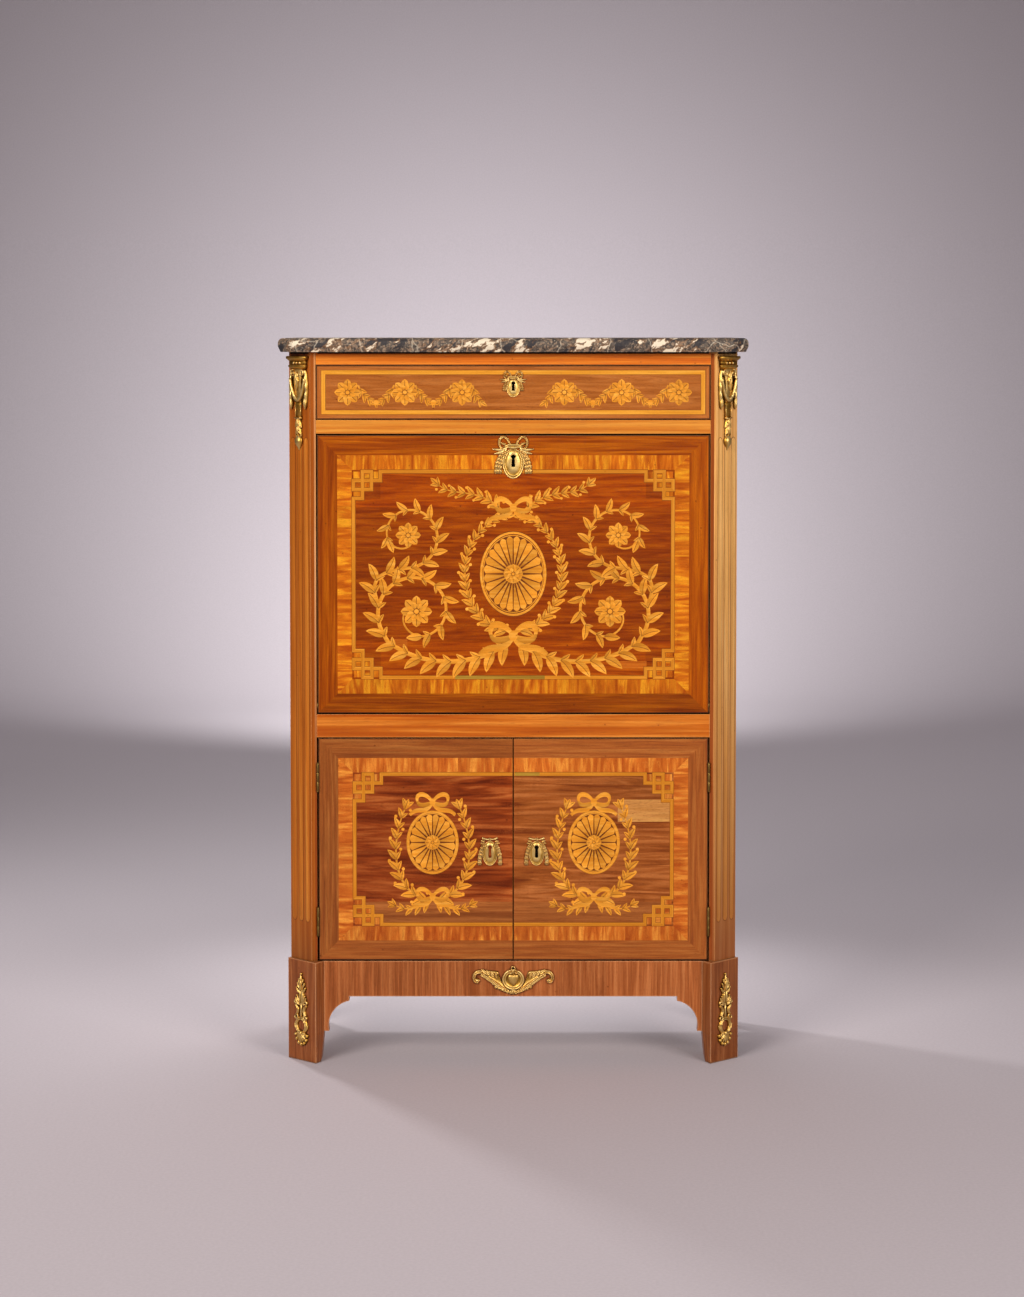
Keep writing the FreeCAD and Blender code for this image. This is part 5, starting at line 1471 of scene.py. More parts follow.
@dataclass
class FallMotif:
    """A laurel wreath round an oval fan, with bows and leafy scrolls, inlaid in the middle of the fall."""

    middle: Point = (0.0, 968.0)
    fan_half_width: float = 64.0
    fan_half_height: float = 82.0
    wreath_half_width: float = 95.0
    wreath_half_height: float = 114.0
    tie_drop: float = 126.0
    low_scroll: Point = (190.0, 52.0)
    high_scroll: Point = (206.0, 202.0)
    wreath: Sprig = Sprig(29, 17, (4.0, 2.6), 32, 0.8, 3.2)
    low_sprig: Sprig = Sprig(46, 29, (10.0, 4.4), 44, 0.52)
    high_sprig: Sprig = Sprig(38, 25, (7.0, 3.4), 44, 0.52)
    crest: Sprig = Sprig(27, 18, (3.6, 2.0), 38, 0.9, 2.8)

    def build(self) -> None:
        """Inlays the wreath, the fan, the bows and the scrolls."""
        shape = Shape(FRONT)
        u, v = self.middle
        patera(shape, self.middle, self.fan_half_width, self.fan_half_height, 24)
        foot = v - self.tie_drop
        low, high = ((u + a, foot + b) for a, b in (self.low_scroll, self.high_scroll))
        for side in (-1, 1):
            half = [
                (u + side * self.wreath_half_width * math.cos(math.radians(a)),
                 v + self.wreath_half_height * math.sin(math.radians(a)))
                for a in range(-88, 83, 5)
            ]
            spray(shape, half, self.wreath)
            root = curve((u, foot), (u + 62, foot - 56), (u + 168, foot - 66), (u + 246, foot - 8), count=20)
            round_up = spiral(low, 80, 50, -46, 262, 40)
            rise = spiral(high, 64, 40, 262, -20, 36)
            branch = curve(
                (u + 268, foot + 74), (u + 286, foot + 128), (u + 246, foot + 132), rise[0], count=10
            )
            spray(shape, mirrored(root + round_up[2:], side, u), self.low_sprig)
            spray(shape, mirrored(branch[:-1] + rise, side, u), self.high_sprig)
            for heart, ends, turns, radius in (
                (low, (50, 24), (262, 352), 31), (high, (40, 18), (-20, -110), 25)
            ):
                tendril = mirrored(spiral(heart, *ends, *turns, 14), side, u)
                widths = [4.2 - 0.1 * i for i in range(14)]
                shape.strip(tendril, widths, MOTIF_TOP - TENDRIL_DROP, (-0.5, 0.1))
                rosette(shape, (side * (heart[0] - u) + u, heart[1]), radius, 8)
            crest = curve(
                (u + 20, v + 124), (u + 74, v + 176), (u + 118, v + 146), (u + 150, v + 178), count=18
            )
            spray(shape, mirrored(crest, side, u), self.crest)
        bow(shape, (u, foot + 4), 44)
        bow(shape, (u, v + 130), 34)
        shape.finish_inlay("fall_inlay", "fall")


@dataclass
class DoorMotif:
    """An oval fan hung on a bow, held by two tied laurel sprays, inlaid in the middle of a door."""

    body: str
    middle: Point
    half_width: float = 50.0
    half_height: float = 62.0
    long_sprig: Sprig = Sprig(33, 21, (5.4, 2.6), 34, 0.72, 3.2)
    short_sprig: Sprig = Sprig(25, 17, (3.8, 2.0), 36, 0.8)

    def build(self) -> None:
        """Inlays the fan, the bows and the sprays."""
        shape = Shape(FRONT)
        u, v = self.middle
        patera(shape, (u, v + 16), self.half_width, self.half_height, 20)
        for side in (-1, 1):
            path = curve((u, v - 98), (u + 70, v - 96), (u + 92, v - 6), (u + 54, v + 84), count=24)
            spray(shape, mirrored(path, side, u), self.long_sprig)
            short = curve((u, v - 96), (u + 26, v - 118), (u + 52, v - 122), (u + 76, v - 108), count=12)
            spray(shape, mirrored(short, side, u), self.short_sprig)
        bow(shape, (u, v + 96), 30)
        bow(shape, (u, v - 92), 30)
        shape.finish_inlay(f"{self.body}_inlay", self.body)


@dataclass
class DrawerMotif:
    """A row of rosettes with leafy festoons between them, inlaid along the drawer front."""

    level: float = 1324.0
    stations: tuple[float, ...] = (100.0, 212.0, 324.0)
    inner_end: float = 44.0
    radius: float = 26.0
    sag: float = 20.0
    knot: float = 5.2
    sprig: Sprig = Sprig(21, 12.5, (3.6, 2.6), 36, 0.8)

    def festoon(self, shape: Shape, side: int, near: float, far: float) -> None:
        """Inlays half a festoon.

        Args:
            shape: the inlay.
            side: -1 for the left side of the drawer and 1 for the right one.
            near: the u of its upper end, beside a rosette.
            far: the u of its lowest place.
        """
        bend = (near + (far - near) * 0.3, self.level - 13)
        path = curve((near, self.level + 14), bend, (far, self.level - self.sag), count=12)
        spray(shape, mirrored(path, side), self.sprig)

    def build(self) -> None:
        """Inlays the rosettes, the festoons and the knots at their lowest places."""
        shape = Shape(FRONT)
        clear = self.radius * 0.8
        for side in (-1, 1):
            for u in self.stations:
                rosette(shape, (side * u, self.level), self.radius, 8)
            first = self.stations[0] - clear
            self.festoon(shape, side, first, (self.inner_end + first) / 2)
            for last, u in zip(self.stations, self.stations[1:]):
                start, end = last + clear, u - clear
                lowest = (start + end) / 2
                for near in (start, end):
                    self.festoon(shape, side, near, lowest)
                knot = oval((side * lowest, self.level - self.sag), self.knot, self.knot, 16)
                shape.prism(knot, KNOT_TOP, 0.2)
        shape.finish_inlay("drawer_inlay", "frieze_drawer")


@dataclass
class PostInlay:
    """Three false flutes let into a canted post, and a slip beside the opening."""

    name: str
    side: int
    flute_wood: Wood
    slip_wood: Wood
    flute: float = 12.0
    spacing: float = 19.5
    low: float = 288.0
    high: float = 1226.0
    slip: float = 4.2
    slip_from: Point = (386.5, RAIL_FRONT)
    slip_to: Point = (397.0, -178.0)
    slip_low: float = 204.0
    slip_high: float = 1400.0

    def build(self) -> None:
        """Lays the flutes with a shaded edge and brown outlines, and the slip."""
        shape = Shape(canted(self.side, *POST_FACE))
        half = self.flute / 2
        for n in (-1, 0, 1):
            u = n * self.spacing
            shape.cut = 2.3 * (n + 2 * self.side)
            for grow, top, slot in ((0.8, OUTLINE_TOP, SECOND), (0.0, LINE_TOP, MAIN)):
                wide = half + grow
                outline = [
                    (u + wide * math.cos(a), v + wide * 1.5 * math.sin(a))
                    for v, turn in ((self.high, 0), (self.low, 180)) for a in arc_steps(turn, turn + 180)
                ]
                shape.slot = slot
                shape.prism(outline, top)
            shape.slot = MAIN
            shaded = u - half * 0.62
            shape.strip([(shaded, self.low), (shaded, self.high)], half * 0.7, KNOT_TOP, (-0.36, -0.12))
        woods = [self.flute_wood.material(Grain.Z), GRAVED_LINE.material(Grain.Z)]
        shape.finish(f"{self.name}_flutes", "carcass", woods)
        start, end = (Vector((self.side * x, y, 0)) for x, y in (self.slip_from, self.slip_to))
        right = (end - start).normalized() * self.side
        slip = Shape(Plane(start, right, right.cross(Vector((0, 0, 1)))))
        slip.cut = 0.7 * self.side
        middle = self.side * (0.4 + self.slip / 2)
        slip.strip([(middle, self.slip_low), (middle, self.slip_high)], self.slip, GROUND_TOP)
        slip.finish(f"{self.name}_slip", "carcass", [self.slip_wood.material(Grain.Z)])


@dataclass
class MarbleShadow:
    """A painted shadow: the near-black line under the front edge of the marble, where its overhang casts
    shade.
    """

    half_width: float = 383.0
    canted_half_width: float = 27.0
    low: float = 1399.4
    high: float = 1402.9

    def build(self) -> None:
        """Lays the painted shadow along the top rail and across the canted posts."""
        canted_half = self.canted_half_width
        for name, plane, half in (
            ("front", FRONT, self.half_width), ("left", canted(-1, *POST_FACE), canted_half),
            ("right", canted(1, *POST_FACE), canted_half),
        ):
            shape = Shape(plane)
            shape.prism(rectangle(-half, half, self.low, self.high), GROUND_TOP)
            shape.finish(f"marble_bed_{name}", "carcass", [SHADOW_EDGE.material(Grain.X)])


def keyhole_reach(angle: float, bow_radius: float, drop: float) -> float:
    """Gives the distance from the middle of a keyhole to its edge.

    Args:
        angle: the direction in radians.
        bow_radius: the radius of its round head.
        drop: half its height.

    Returns:
        The distance in millimetres.
    """
    reach, way = 0.4, Vector((math.cos(angle), math.sin(angle)))
    while True:
        spot = way * reach
        in_head = (spot - Vector((0, drop - bow_radius))).length < bow_radius
        slot_half = bow_radius * (0.62 - 0.2 * spot.y / drop)
        in_slot = -drop < spot.y < drop - bow_radius and abs(spot.x) < slot_half
        if not (in_head or in_slot):
            return reach
        reach += 0.15


class Tie(Enum):
    """How the ribbon over a keyhole plate is tied."""

    LOOPED = "an open bow with fluttering ends"
    FLAT = "a flat knot"


@dataclass
class Escutcheon:
    """A domed oval keyhole plate with a moulded rim, a ribbon and two hanging bunches of laurel.

    The plate's middle lies below the keyhole by drop. The crest is the ribbon's top over the keyhole, and the
    laurel reaches to each side by reach and down to swag_low. A sham one has no lock behind it, and no
    painted shadow in its keyhole.
    """

    node: str
    body: str
    keyhole: Point
    half_width: float
    half_height: float
    drop: float
    crest: float
    reach: float
    swag_width: float
    swag_low: float
    tie: Tie = Tie.LOOPED
    head: float = 4.5
    slot_half: float = 11.7
    sham: bool = False

    def plate(self, shape: Shape) -> None:
        """Models the oval plate round its keyhole.

        Args:
            shape: the casting.
        """
        u, v = self.keyhole
        count = 56
        turns = [2 * math.pi * i / count for i in range(count)]
        hole = [keyhole_reach(a, self.head, self.slot_half) for a in turns]
        # Shares of the way from the keyhole to the rim, heights on a plate 42 mm wide, and tones.
        levels = (
            (1.0, -0.4, -1.0), (1.0, 1.2, -0.3), (0.97, 2.4, 0.7), (0.91, 2.7, 0.8), (0.86, 1.6, -0.8),
            (0.81, 1.5, -0.8), (0.77, 2.5, 0.6), (0.73, 2.6, 0.5), (0.69, 1.9, -0.5), (0.5, 3.4, 0.35),
            (0.28, 4.3, 0.6), (0.06, 4.6, 0.7), (0.0, 4.2, 0.3), (0.0, -0.4, -1.0),
        )
        rings = []
        for share, height, tone in levels:
            ring, w = [], height * self.half_width / 21
            for a, inner in zip(turns, hole):
                far = inner + (self.rim(a) - inner) * share
                ring.append((u + far * math.cos(a), v + far * math.sin(a), w, tone))
            rings.append(ring)
        shape.rings(rings, cyclic=True)

    def rim(self, angle: float) -> float:
        """Gives the distance from the keyhole to the rim, whose middle lies a little lower.

        Args:
            angle: the direction in radians.

        Returns:
            The distance in millimetres.
        """
        c, s = math.cos(angle) / self.half_width, math.sin(angle) / self.half_height
        low = self.drop / self.half_height
        square, cross = c * c + s * s, s * low
        return (math.sqrt(cross * cross + square * (1 - low * low)) - cross) / square

    def ribbon(self, shape: Shape, side: int) -> None:
        """Models one half of the ribbon.

        Args:
            shape: the casting.
            side: -1 for the left half and 1 for the right one.
        """
        u = self.keyhole[0]
        top = self.keyhole[1] - self.drop + self.half_height
        size = self.keyhole[1] + self.crest - top

        def path(*points: Point, count: int = 16) -> list[Point]:
            """Draws a curve from places given in shares of the ribbon's height."""
            return mirrored(curve(*((u + a * size, top + b * size) for a, b in points), count=count), side, u)

        if self.tie is Tie.FLAT:
            widths = [size * (0.5 + 0.012 * i) for i in range(16)]
            shape.relief(path((0.1, 0.5), (1.0, 0.35), (2.1, 0.85)), widths, 3.4)
            for root, tip in (((1.3, -0.2), (2.6, 0.1)), ((1.6, -0.8), (2.8, -0.6))):
                shape.leaf(*path(root, tip, count=2), size * 0.6, 3.0, 0.6 * side)
            return
        widths = [size * (0.19 + 0.07 * math.sin(math.pi * i / 21)) for i in range(22)]
        loop = path((0.2, 0.15), (0.4, 0.75), (0.72, 1.45), (1.3, 1.0), (1.42, 0.25), (0.8, -0.12), count=22)
        heights = [3.0 + 1.6 * math.sin(math.pi * i / 21) for i in range(22)]
        shape.relief(loop, widths, heights, Section.LEAF, 0.6)
        shape.leaf(*path((0.55, 0.3), (1.08, 0.52), count=2), size * 0.24, 3.4, -0.6 * side, base=0.4)
        for points, wide in (
            (((0.55, 0.0), (1.0, -0.24), (1.25, -0.08), (1.72, -0.06)), 0.34),
            (((0.6, -0.12), (1.05, -0.46), (1.3, -0.34), (1.6, -0.46)), 0.3),
        ):
            widths = [size * wide * (1.2 - (i / 16) ** 2) for i in range(16)]
            shape.relief(path(*points), widths, 3.2)

    def swag(self, shape: Shape, side: int) -> None:
        """Models one hanging bunch of laurel.

        Args:
            shape: the casting.
            side: -1 for the left bunch and 1 for the right one.
        """
        u, v = self.keyhole
        top, low = v - self.drop + self.half_height, v + self.swag_low
        inside = self.reach - self.swag_width
        wide, tall = self.half_width, self.half_height
        outer = curve(
            (u + wide * 0.72, top - tall * 0.08), (u + self.reach * 1.04, v + tall * 0.3),
            (u + self.reach, low), count=15,
        )
        inner = curve(
            (u + wide * 0.6, top - tall * 0.2), (u + wide * 1.05, v + tall * 0.1), (u + inside, low), count=15
        )
        edges = [mirrored(edge, side, u) for edge in ((inner, outer) if side > 0 else (outer, inner))]
        shape.band(*edges, 2.0, Section.FLAT)
        leaf = self.swag_width * 0.72
        for i in range(1, 15, 2):
            a, b = Vector(outer[i]), Vector(inner[i])
            way = (Vector(outer[min(i + 1, 14)]) - Vector(outer[i - 1])).normalized()
            for share in (0.82, 0.5, 0.18):
                root = a.lerp(b, share) - way * leaf * 0.4
                tip = a.lerp(b, 0.5 + (share - 0.5) * 1.15) + way * leaf * 0.5
                across, height = (a - b).length * 0.4, 3.1 if share == 0.5 else 2.6
                shape.leaf(*mirrored([tuple(root), tuple(tip)], side, u), across, height, base=1.4)

    def build(self) -> None:
        """Models the plate, the laurel, the ribbon, a nail, and the near-black painted shadow behind the
        keyhole.
        """
        shape = Shape(FRONT)
        u, v = self.keyhole
        top = v - self.drop + self.half_height
        size = v + self.crest - top
        self.plate(shape)
        for side in (-1, 1):
            self.swag(shape, side)
            self.ribbon(shape, side)
        if self.tie is Tie.LOOPED:
            folds = ((-0.8, 0.1, 0.2), (-0.4, 0.2, 0.44), (0, 0.16, 0.56), (0.4, 0.2, 0.44), (0.8, 0.1, 0.2))
            cloth = [(u + size * a, top + size * b) for a, b, _ in folds]
            shape.relief(cloth, [size * wide for _, _, wide in folds], 3.8, Section.LEAF, 0.8)
        else:
            shape.relief(oval((u, top + size * 0.55), 2.2, 2.2, 16), 1.8, 3.6, closed=True)
        shape.ball((u, v - self.drop - self.half_height + 3.2), 1.4, 1.4, 1.6, 0.2)
        if not self.sham:
            # Painted shadow: a near-black disc behind the keyhole, where its depth lies in shade.
            shape.slot = SECOND
            shape.prism(oval((u, v), self.head + 2, self.slot_half + 2, 24), LINE_TOP)
        shape.finish_cast(self.node, self.body, KEYHOLE_SHADOW)


@dataclass
class CornerMount:
    """A bronze drop on a canted post: a small capital, a draped bracket, a tongue, husks and a bud.

    Heights are measured down from its top.
    """

    node: str
    side: int
    top: float = 1395.0

    def console(self, shape: Shape) -> None:
        """Models the bracket under the capital: dark back, leafy middle, volutes, hanging cloth and swag.

        Args:
            shape: the casting.
        """
        half = [(20, -26), (22, -60), (18, -84), (9, -95)]
        shape.prism(half + mirrored(half[::-1], -1), 1.2, -1.0)
        shape.stack(
            [(-24, 12.5, 5.0), (-34, 12.0, 7.0), (-60, 9.5, 6.0), (-80, 8.5, 5.0), (-94, 8.8, 3.6)]
        )
        shape.leaf((0, -30), (0, -68), 15, 5.6, lobes=3, base=5.6)
        for side in (-1, 1):
            volute = mirrored(spiral((11.5, -33.5), 7.0, 2.0, 90, -330, 26), side)
            shape.relief(volute, [4.4 - 0.08 * i for i in range(26)], 4.8, base=3.6)
            shape.ball((side * 11.5, -33.5), 4.0, 2.4, 4.6)
            cloth = mirrored(curve((19.5, -27), (24, -48), (23.5, -72), (20.5, -100), count=20), side)
            widths = [4.6 + 3.6 * math.sin(math.pi * (0.1 + 0.8 * i / 19)) for i in range(20)]
            shape.relief(cloth, widths, [5.4 + 0.9 * math.sin(1.5 * i) for i in range(20)], base=0.8)
            swag = mirrored(curve((21, -44), (17, -68), (9, -85), (0, -85), count=16), side)
            heights = [5.6 + 0.5 * math.cos(2.1 * i) for i in range(16)]
            shape.relief(swag, [6.4 + 0.32 * i for i in range(16)], heights, base=3.4)
            shape.leaf(*mirrored([(20.5, -82), (20.5, -105)], side), 8.4, 5.0, base=2.4)

    def drop(self, shape: Shape) -> None:
        """Models the tongue with its raised edges, the husks that clasp it and the bud.

        Args:
            shape: the casting.
        """
        shape.stack([(-90, 9.6, 4.6), (-97, 9.2, 4.6), (-126, 7.6, 4.0)], face=-0.25)
        for side in (-1, 1):
            shape.relief(mirrored([(8.2, -95), (6.6, -124)], side), [1.8, 1.5], 1.0, base=4.0)
        shape.relief([(-9.5, -121), (0, -122.5), (9.5, -121)], 3.8, 5.6, base=1.2)
        for v, reach in ((-121, 9.6), (-135, 8.4)):
            for side in (-1, 1):
                shape.leaf((side * 1.2, v), (side * reach, v - 20), 8.8, 5.2, -1.8 * side, base=1.4)
            shape.leaf((0, v - 1), (0, v - 22), 7.2, 6.2, base=2.2)
        bud = -156
        for side in (-1, 1):
            shape.leaf((side * 2, bud - 5), (side * 9.0, bud + 2), 5.0, 3.6, base=1.0)
        rings = []
        for v, radius in (
            (bud + 2, 3.0), (bud - 1, 6.0), (bud - 5, 9.4), (bud - 10, 10.6), (bud - 15, 9.8),
            (bud - 19, 7.4), (bud - 23, 4.2), (bud - 26, 2.8), (bud - 29, 1.0),
        ):
            ring = []
            for a in arc_steps(0, 360, 17)[:-1]:
                out = math.sin(a)
                w, tone = max(radius * 0.85 * out, -0.05) + 0.25, 1.5 * max(out, 0) - 0.8
                ring.append((radius * math.cos(a), v, w, tone))
            rings.append(ring)
        shape.rings(rings)

    def build(self) -> None:
        """Models the mount from the capital down."""
        shape = Shape(canted(self.side, *POST_FACE).raised(self.top))
        shape.stack([
            (0.0, 27.0, 9.5), (-1.2, 28.4, 11.5), (-5.0, 28.4, 11.5), (-6.2, 27.0, 9.8),
            (-8.5, 25.2, 8.0), (-9.5, 24.0, 6.6),
        ], face=0.0)
        shape.stack([(-9.0, 24.0, 6.2), (-18.0, 24.0, 6.2)], face=-0.7)
        shape.stack(
            [(-17.5, 24.0, 6.6), (-18.2, 25.0, 8.2), (-20.8, 25.0, 8.2), (-25.0, 22.0, 5.0)],
            face=0.0,
        )
        for n in (-1, 0, 1):
            shape.ball((n * 9.0, -13.6), 5.8, 3.2, 3.8, 1.0)
        self.console(shape)
        self.drop(shape)
        shape.finish_cast(self.node, "carcass")


@dataclass
class FootMount:
    """A bronze spray on a canted plinth block: bud, leafy stem, paired scrolls, oval ring and shell.

    Heights are measured down from its top.
    """

    node: str
    side: int
    top: float = 178.0

    def build(self) -> None:
        """Models the mount from the bud down."""
        shape = Shape(canted(self.side, *FOOT_FACE).raised(self.top))
        shape.relief([(0, -14), (0, -6)], [5.0, 2.6], 4.0, base=0.8)
        shape.ball((0, -4), 0.8, 2.7, 4.2)
        shape.leaf((0, -38), (0, -7), 11.0, 6.0, lobes=3, base=1.6)
        shape.relief([(0, -34), (0, -48), (0, -64)], [13.0, 16.0, 20.0], 4.6, Section.LEAF, 0.4)
        shape.relief([(0, -62), (0, -76), (0, -92)], [7.0, 4.6, 8.0], 3.6, base=0.4)
        for side in (-1, 1):
            for v, reach, drop, wide in (
                (-14, 5.5, 9, 5), (-22, 9.5, 11, 6), (-31, 12.5, 11, 7), (-47, 11, 12, 7)
            ):
                shape.leaf(*mirrored([(1.5, v - drop), (reach, v)], side), wide, 4.6, -1.5 * side, base=1.2)
                shape.ball((side * reach, v - 0.6), 0.8, 2.3, 4.4, 0.5)
            shape.leaf(*mirrored([(3, -66), (15, -50)], side), 8.0, 5.0, -2.0 * side, 2, 1.6)
            for heart, start, turns in (
                ((14.5, -61), 5.4, (230, -150)), ((14.0, -90), 5.6, (130, 470))
            ):
                scroll = mirrored(spiral(heart, start, 1.6, *turns, 20), side)
                shape.relief(scroll, [4.4 - 0.08 * i for i in range(20)], 5.0, base=0.4)
            limb = curve((16, -66), (7, -72), (6, -80), (14, -86), count=14)
            widths = [5.4 + 1.8 * math.sin(math.pi * i / 13) for i in range(14)]
            shape.relief(mirrored(limb, side), widths, 5.0, Section.LEAF, 0.4)
            shape.leaf(*mirrored([(12, -116), (19, -104)], side), 5.5, 4.0, -1.5 * side, base=0.6)
        ring = oval((0, -107), 14.0, 14.5, 36)
        heights = [4.4 + 0.9 * math.cos(math.pi * i / 2) for i in range(36)]
        shape.relief(ring, 8.0, heights, Section.LEAF, 0.6, closed=True)
        for angle in (0, -28, 28, -56, 56, -82, 82):
            a = math.radians(angle - 90)
            lobe = (16.5 * math.cos(a), -123 + 21 * math.sin(a))
            shape.leaf((0, -119), lobe, 7.6, 5.0, base=0.8)
            shape.ball(lobe, 0.4, 4.3, 4.8, 0.5)
        shape.ball((0, -122), 1.2, 5.4, 6.2)
        shape.finish_cast(self.node, "carcass")


@dataclass
class ApronMount:
    """A bronze cartouche between two acanthus sprays with curled tips, in the middle of the apron.

    Heights are measured down from its top.
    """

    node: str = "apron_mount"
    top: float = 192.0

    def build(self) -> None:
        """Models the cartouche, the sprays, the leaf fringe and the crest."""
        shape = Shape(FRONT.raised(self.top))
        c = (0.0, -27.6)
        dish = []
        for share, w, tone in (
            (1.0, -0.4, -1), (1.0, 2.2, -0.2), (0.95, 5.2, 0.7), (0.86, 5.6, 0.8), (0.81, 4.0, -0.7),
            (0.76, 4.6, 0.3), (0.68, 4.8, 0.5), (0.62, 2.8, -0.8), (0.5, 2.6, -0.5), (0.03, 2.4, -0.4),
        ):
            dish.append([(u, v, w, tone) for u, v in oval(c, 22.4 * share, 21.2 * share, 40)])
        shape.rings(dish)
        half = curve((0, -19), (5, -16), (13, -16), (14.5, -22), (10, -33), (0, -40.5), count=14)
        outline = half + mirrored(half[-2:0:-1], -1)
        shield = []
        for share, w, tone in (
            (1.0, 2.0, -0.9), (0.94, 3.8, 0.5), (0.7, 4.8, 0.3), (0.35, 5.4, 0.5), (0.03, 5.6, 0.6)
        ):
            shield.append([(u * share, c[1] + (v - c[1]) * share, w, tone) for u, v in outline])
        shape.rings(shield)
        for side in (-1, 1):
            lower = curve((2, -56), (24, -54), (40, -34), (64, -21), count=22)
            middle = curve((5, -51), (24, -46), (40, -26), (64, -14), count=22)
            upper = curve((19, -42), (26, -32), (28, -20), (29.5, -11.5), count=9)
            upper += curve((33, -10.6), (44, -10.6), (54, -9), (64, -7.4), count=13)
            for left, right, height, section in (
                (middle, lower, 5.0, Section.REED), (upper, middle, 4.2, Section.DISH)
            ):
                edges = [mirrored(edge, side) for edge in ((left, right) if side > 0 else (right, left))]
                heights = [height * (0.8 + 0.3 * math.sin(math.pi * i / 21)) for i in range(22)]
                shape.band(*edges, heights, section, 0.4)
            rib = mirrored(middle[3:], side)
            shape.relief(rib, [2.4 + 0.06 * i for i in range(19)], 6.4, base=0.4)
            hook = curve((60, -14), (72, -8), (84, -16), (80, -34), (70, -38), (68, -27), count=20)
            widths, heights = [9.5 - 0.16 * i for i in range(20)], [5.4 + 0.06 * i for i in range(20)]
            shape.relief(mirrored(hook, side), widths, heights, Section.LEAF, 0.4)
            shape.ball((side * 71.5, -29.5), 0.4, 5.0, 7.2)
            for root, tip, wide in (
                ((31, -26), (34, -11), 6), ((37, -23), (43, -10), 8),
                ((45, -19), (52, -8), 8), ((52, -15), (61, -6.5), 8),
            ):
                shape.leaf(*mirrored([root, tip], side), wide, 3.0, -1.6 * side, 0, 3.6)
            for n in range(6):
                u = 3 + 6.0 * n
                fringe = [(u, -49 + 1.6 * n), (u + 4.0, -57.5 + 2.5 * n)]
                shape.leaf(*mirrored(fringe, side), 7.6, 4.6, base=1.2)
            crook = spiral((5.6, -12.5), 4.4, 1.2, 120, -220, 18)
            shape.relief(mirrored(crook, side), 2.8, 4.0, base=3.4)
        shape.leaf((0, -47), (0, -58), 9, 5.0, base=1.4)
        shape.relief(oval((0, -5.2), 3.6, 3.6, 22), 3.4, 5.0, base=0.4, closed=True)
        shape.leaf((0, -8), (0, -18), 6, 4.0, base=3.0)
        shape.finish_cast(self.node, "carcass")


@dataclass
class Timber:
    """The CAD nodes that stay: each gets its finish and softened edges."""

    ease_mm: float = 0.7
    ease_over_deg: float = 35.0
    weld_m: float = 1e-6

    def finishes(self) -> dict[str, Material]:
        """Pairs each node with its finish.

        Returns:
            The material of each node.
        """
        groups = (
            (Breccia().material(), ("marble_top",)),
            (TULIPWOOD_TOP_RAIL.material(Grain.X), ("top_rail",)),
            (TULIPWOOD_RAIL.material(Grain.X), ("drawer_rail",)),
            (TULIPWOOD_MIDDLE_RAIL.material(Grain.X), ("middle_rail",)),
            (TULIPWOOD_POST.material(Grain.Z), (
                "left_front_post", "rear_posts", "left_side_panel", "right_side_panel",
            )),
            (PALE_POST.material(Grain.Z), ("right_front_post",)),
            (AMARANTH_FOOT.material(Grain.Z), ("left_front_foot", "right_front_foot")),
            (AMARANTH_PLINTH.material(Grain.Z), ("front_apron", "side_aprons")),
            (AMARANTH_CASE.material(Grain.X), ("drawer_front", "fall_panel")),
            (AMARANTH_CASE.material(Grain.Z), ("left_door_panel", "right_door_panel")),
            (OAK.material(Grain.X), (
                "top_board", "dust_board", "bottom_board", "cupboard_shelf", "drawer_bottom", "drawer_back",
                "fall_stop",
            )),
            (OAK.material(Grain.Y), ("drawer_sides", "drawer_stops", "desk_floor_bearers")),
            (OAK.material(Grain.Z), ("inner_sides", "back_panels")),
            (WALNUT.material(Grain.X), (
                "desk_floor", *(f"{place}_inner_drawer" for place in INNER_DRAWERS), "pigeonholes",
            )),
            (AGED_BRASS.material(), (
                "post_hinge_leaves", "hinge_pins", "left_door_leaves", "right_door_leaves",
                "quadrant_stays", "quadrant_guides", "fall_pivots", "bolt_guide",
            )),
            (BRIGHT_IRON.material(), (
                "drawer_lock", "fall_lock", "right_door_lock", "drawer_bolt", "fall_bolt",
                "left_door_bolt", "right_door_bolt",
            )),
            (Leather().material(), ("writing_leather",)),
        )
        return {node: material for material, nodes in groups for node in nodes}

    def dress(self) -> None:
        """Gives each node its finish and eases its edges."""
        for name, material in self.finishes().items():
            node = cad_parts[name]
            node.data.materials.clear()
            node.data.materials.append(material)
            weld = node.modifiers.new("weld", "WELD")
            weld.merge_threshold = self.weld_m
            ease = node.modifiers.new("ease", "BEVEL")
            ease.width, ease.segments, ease.limit_method = self.ease_mm * MM, 2, "ANGLE"
            ease.angle_limit = math.radians(self.ease_over_deg)
            LOG.info("%s dressed in %s", name, material.name)


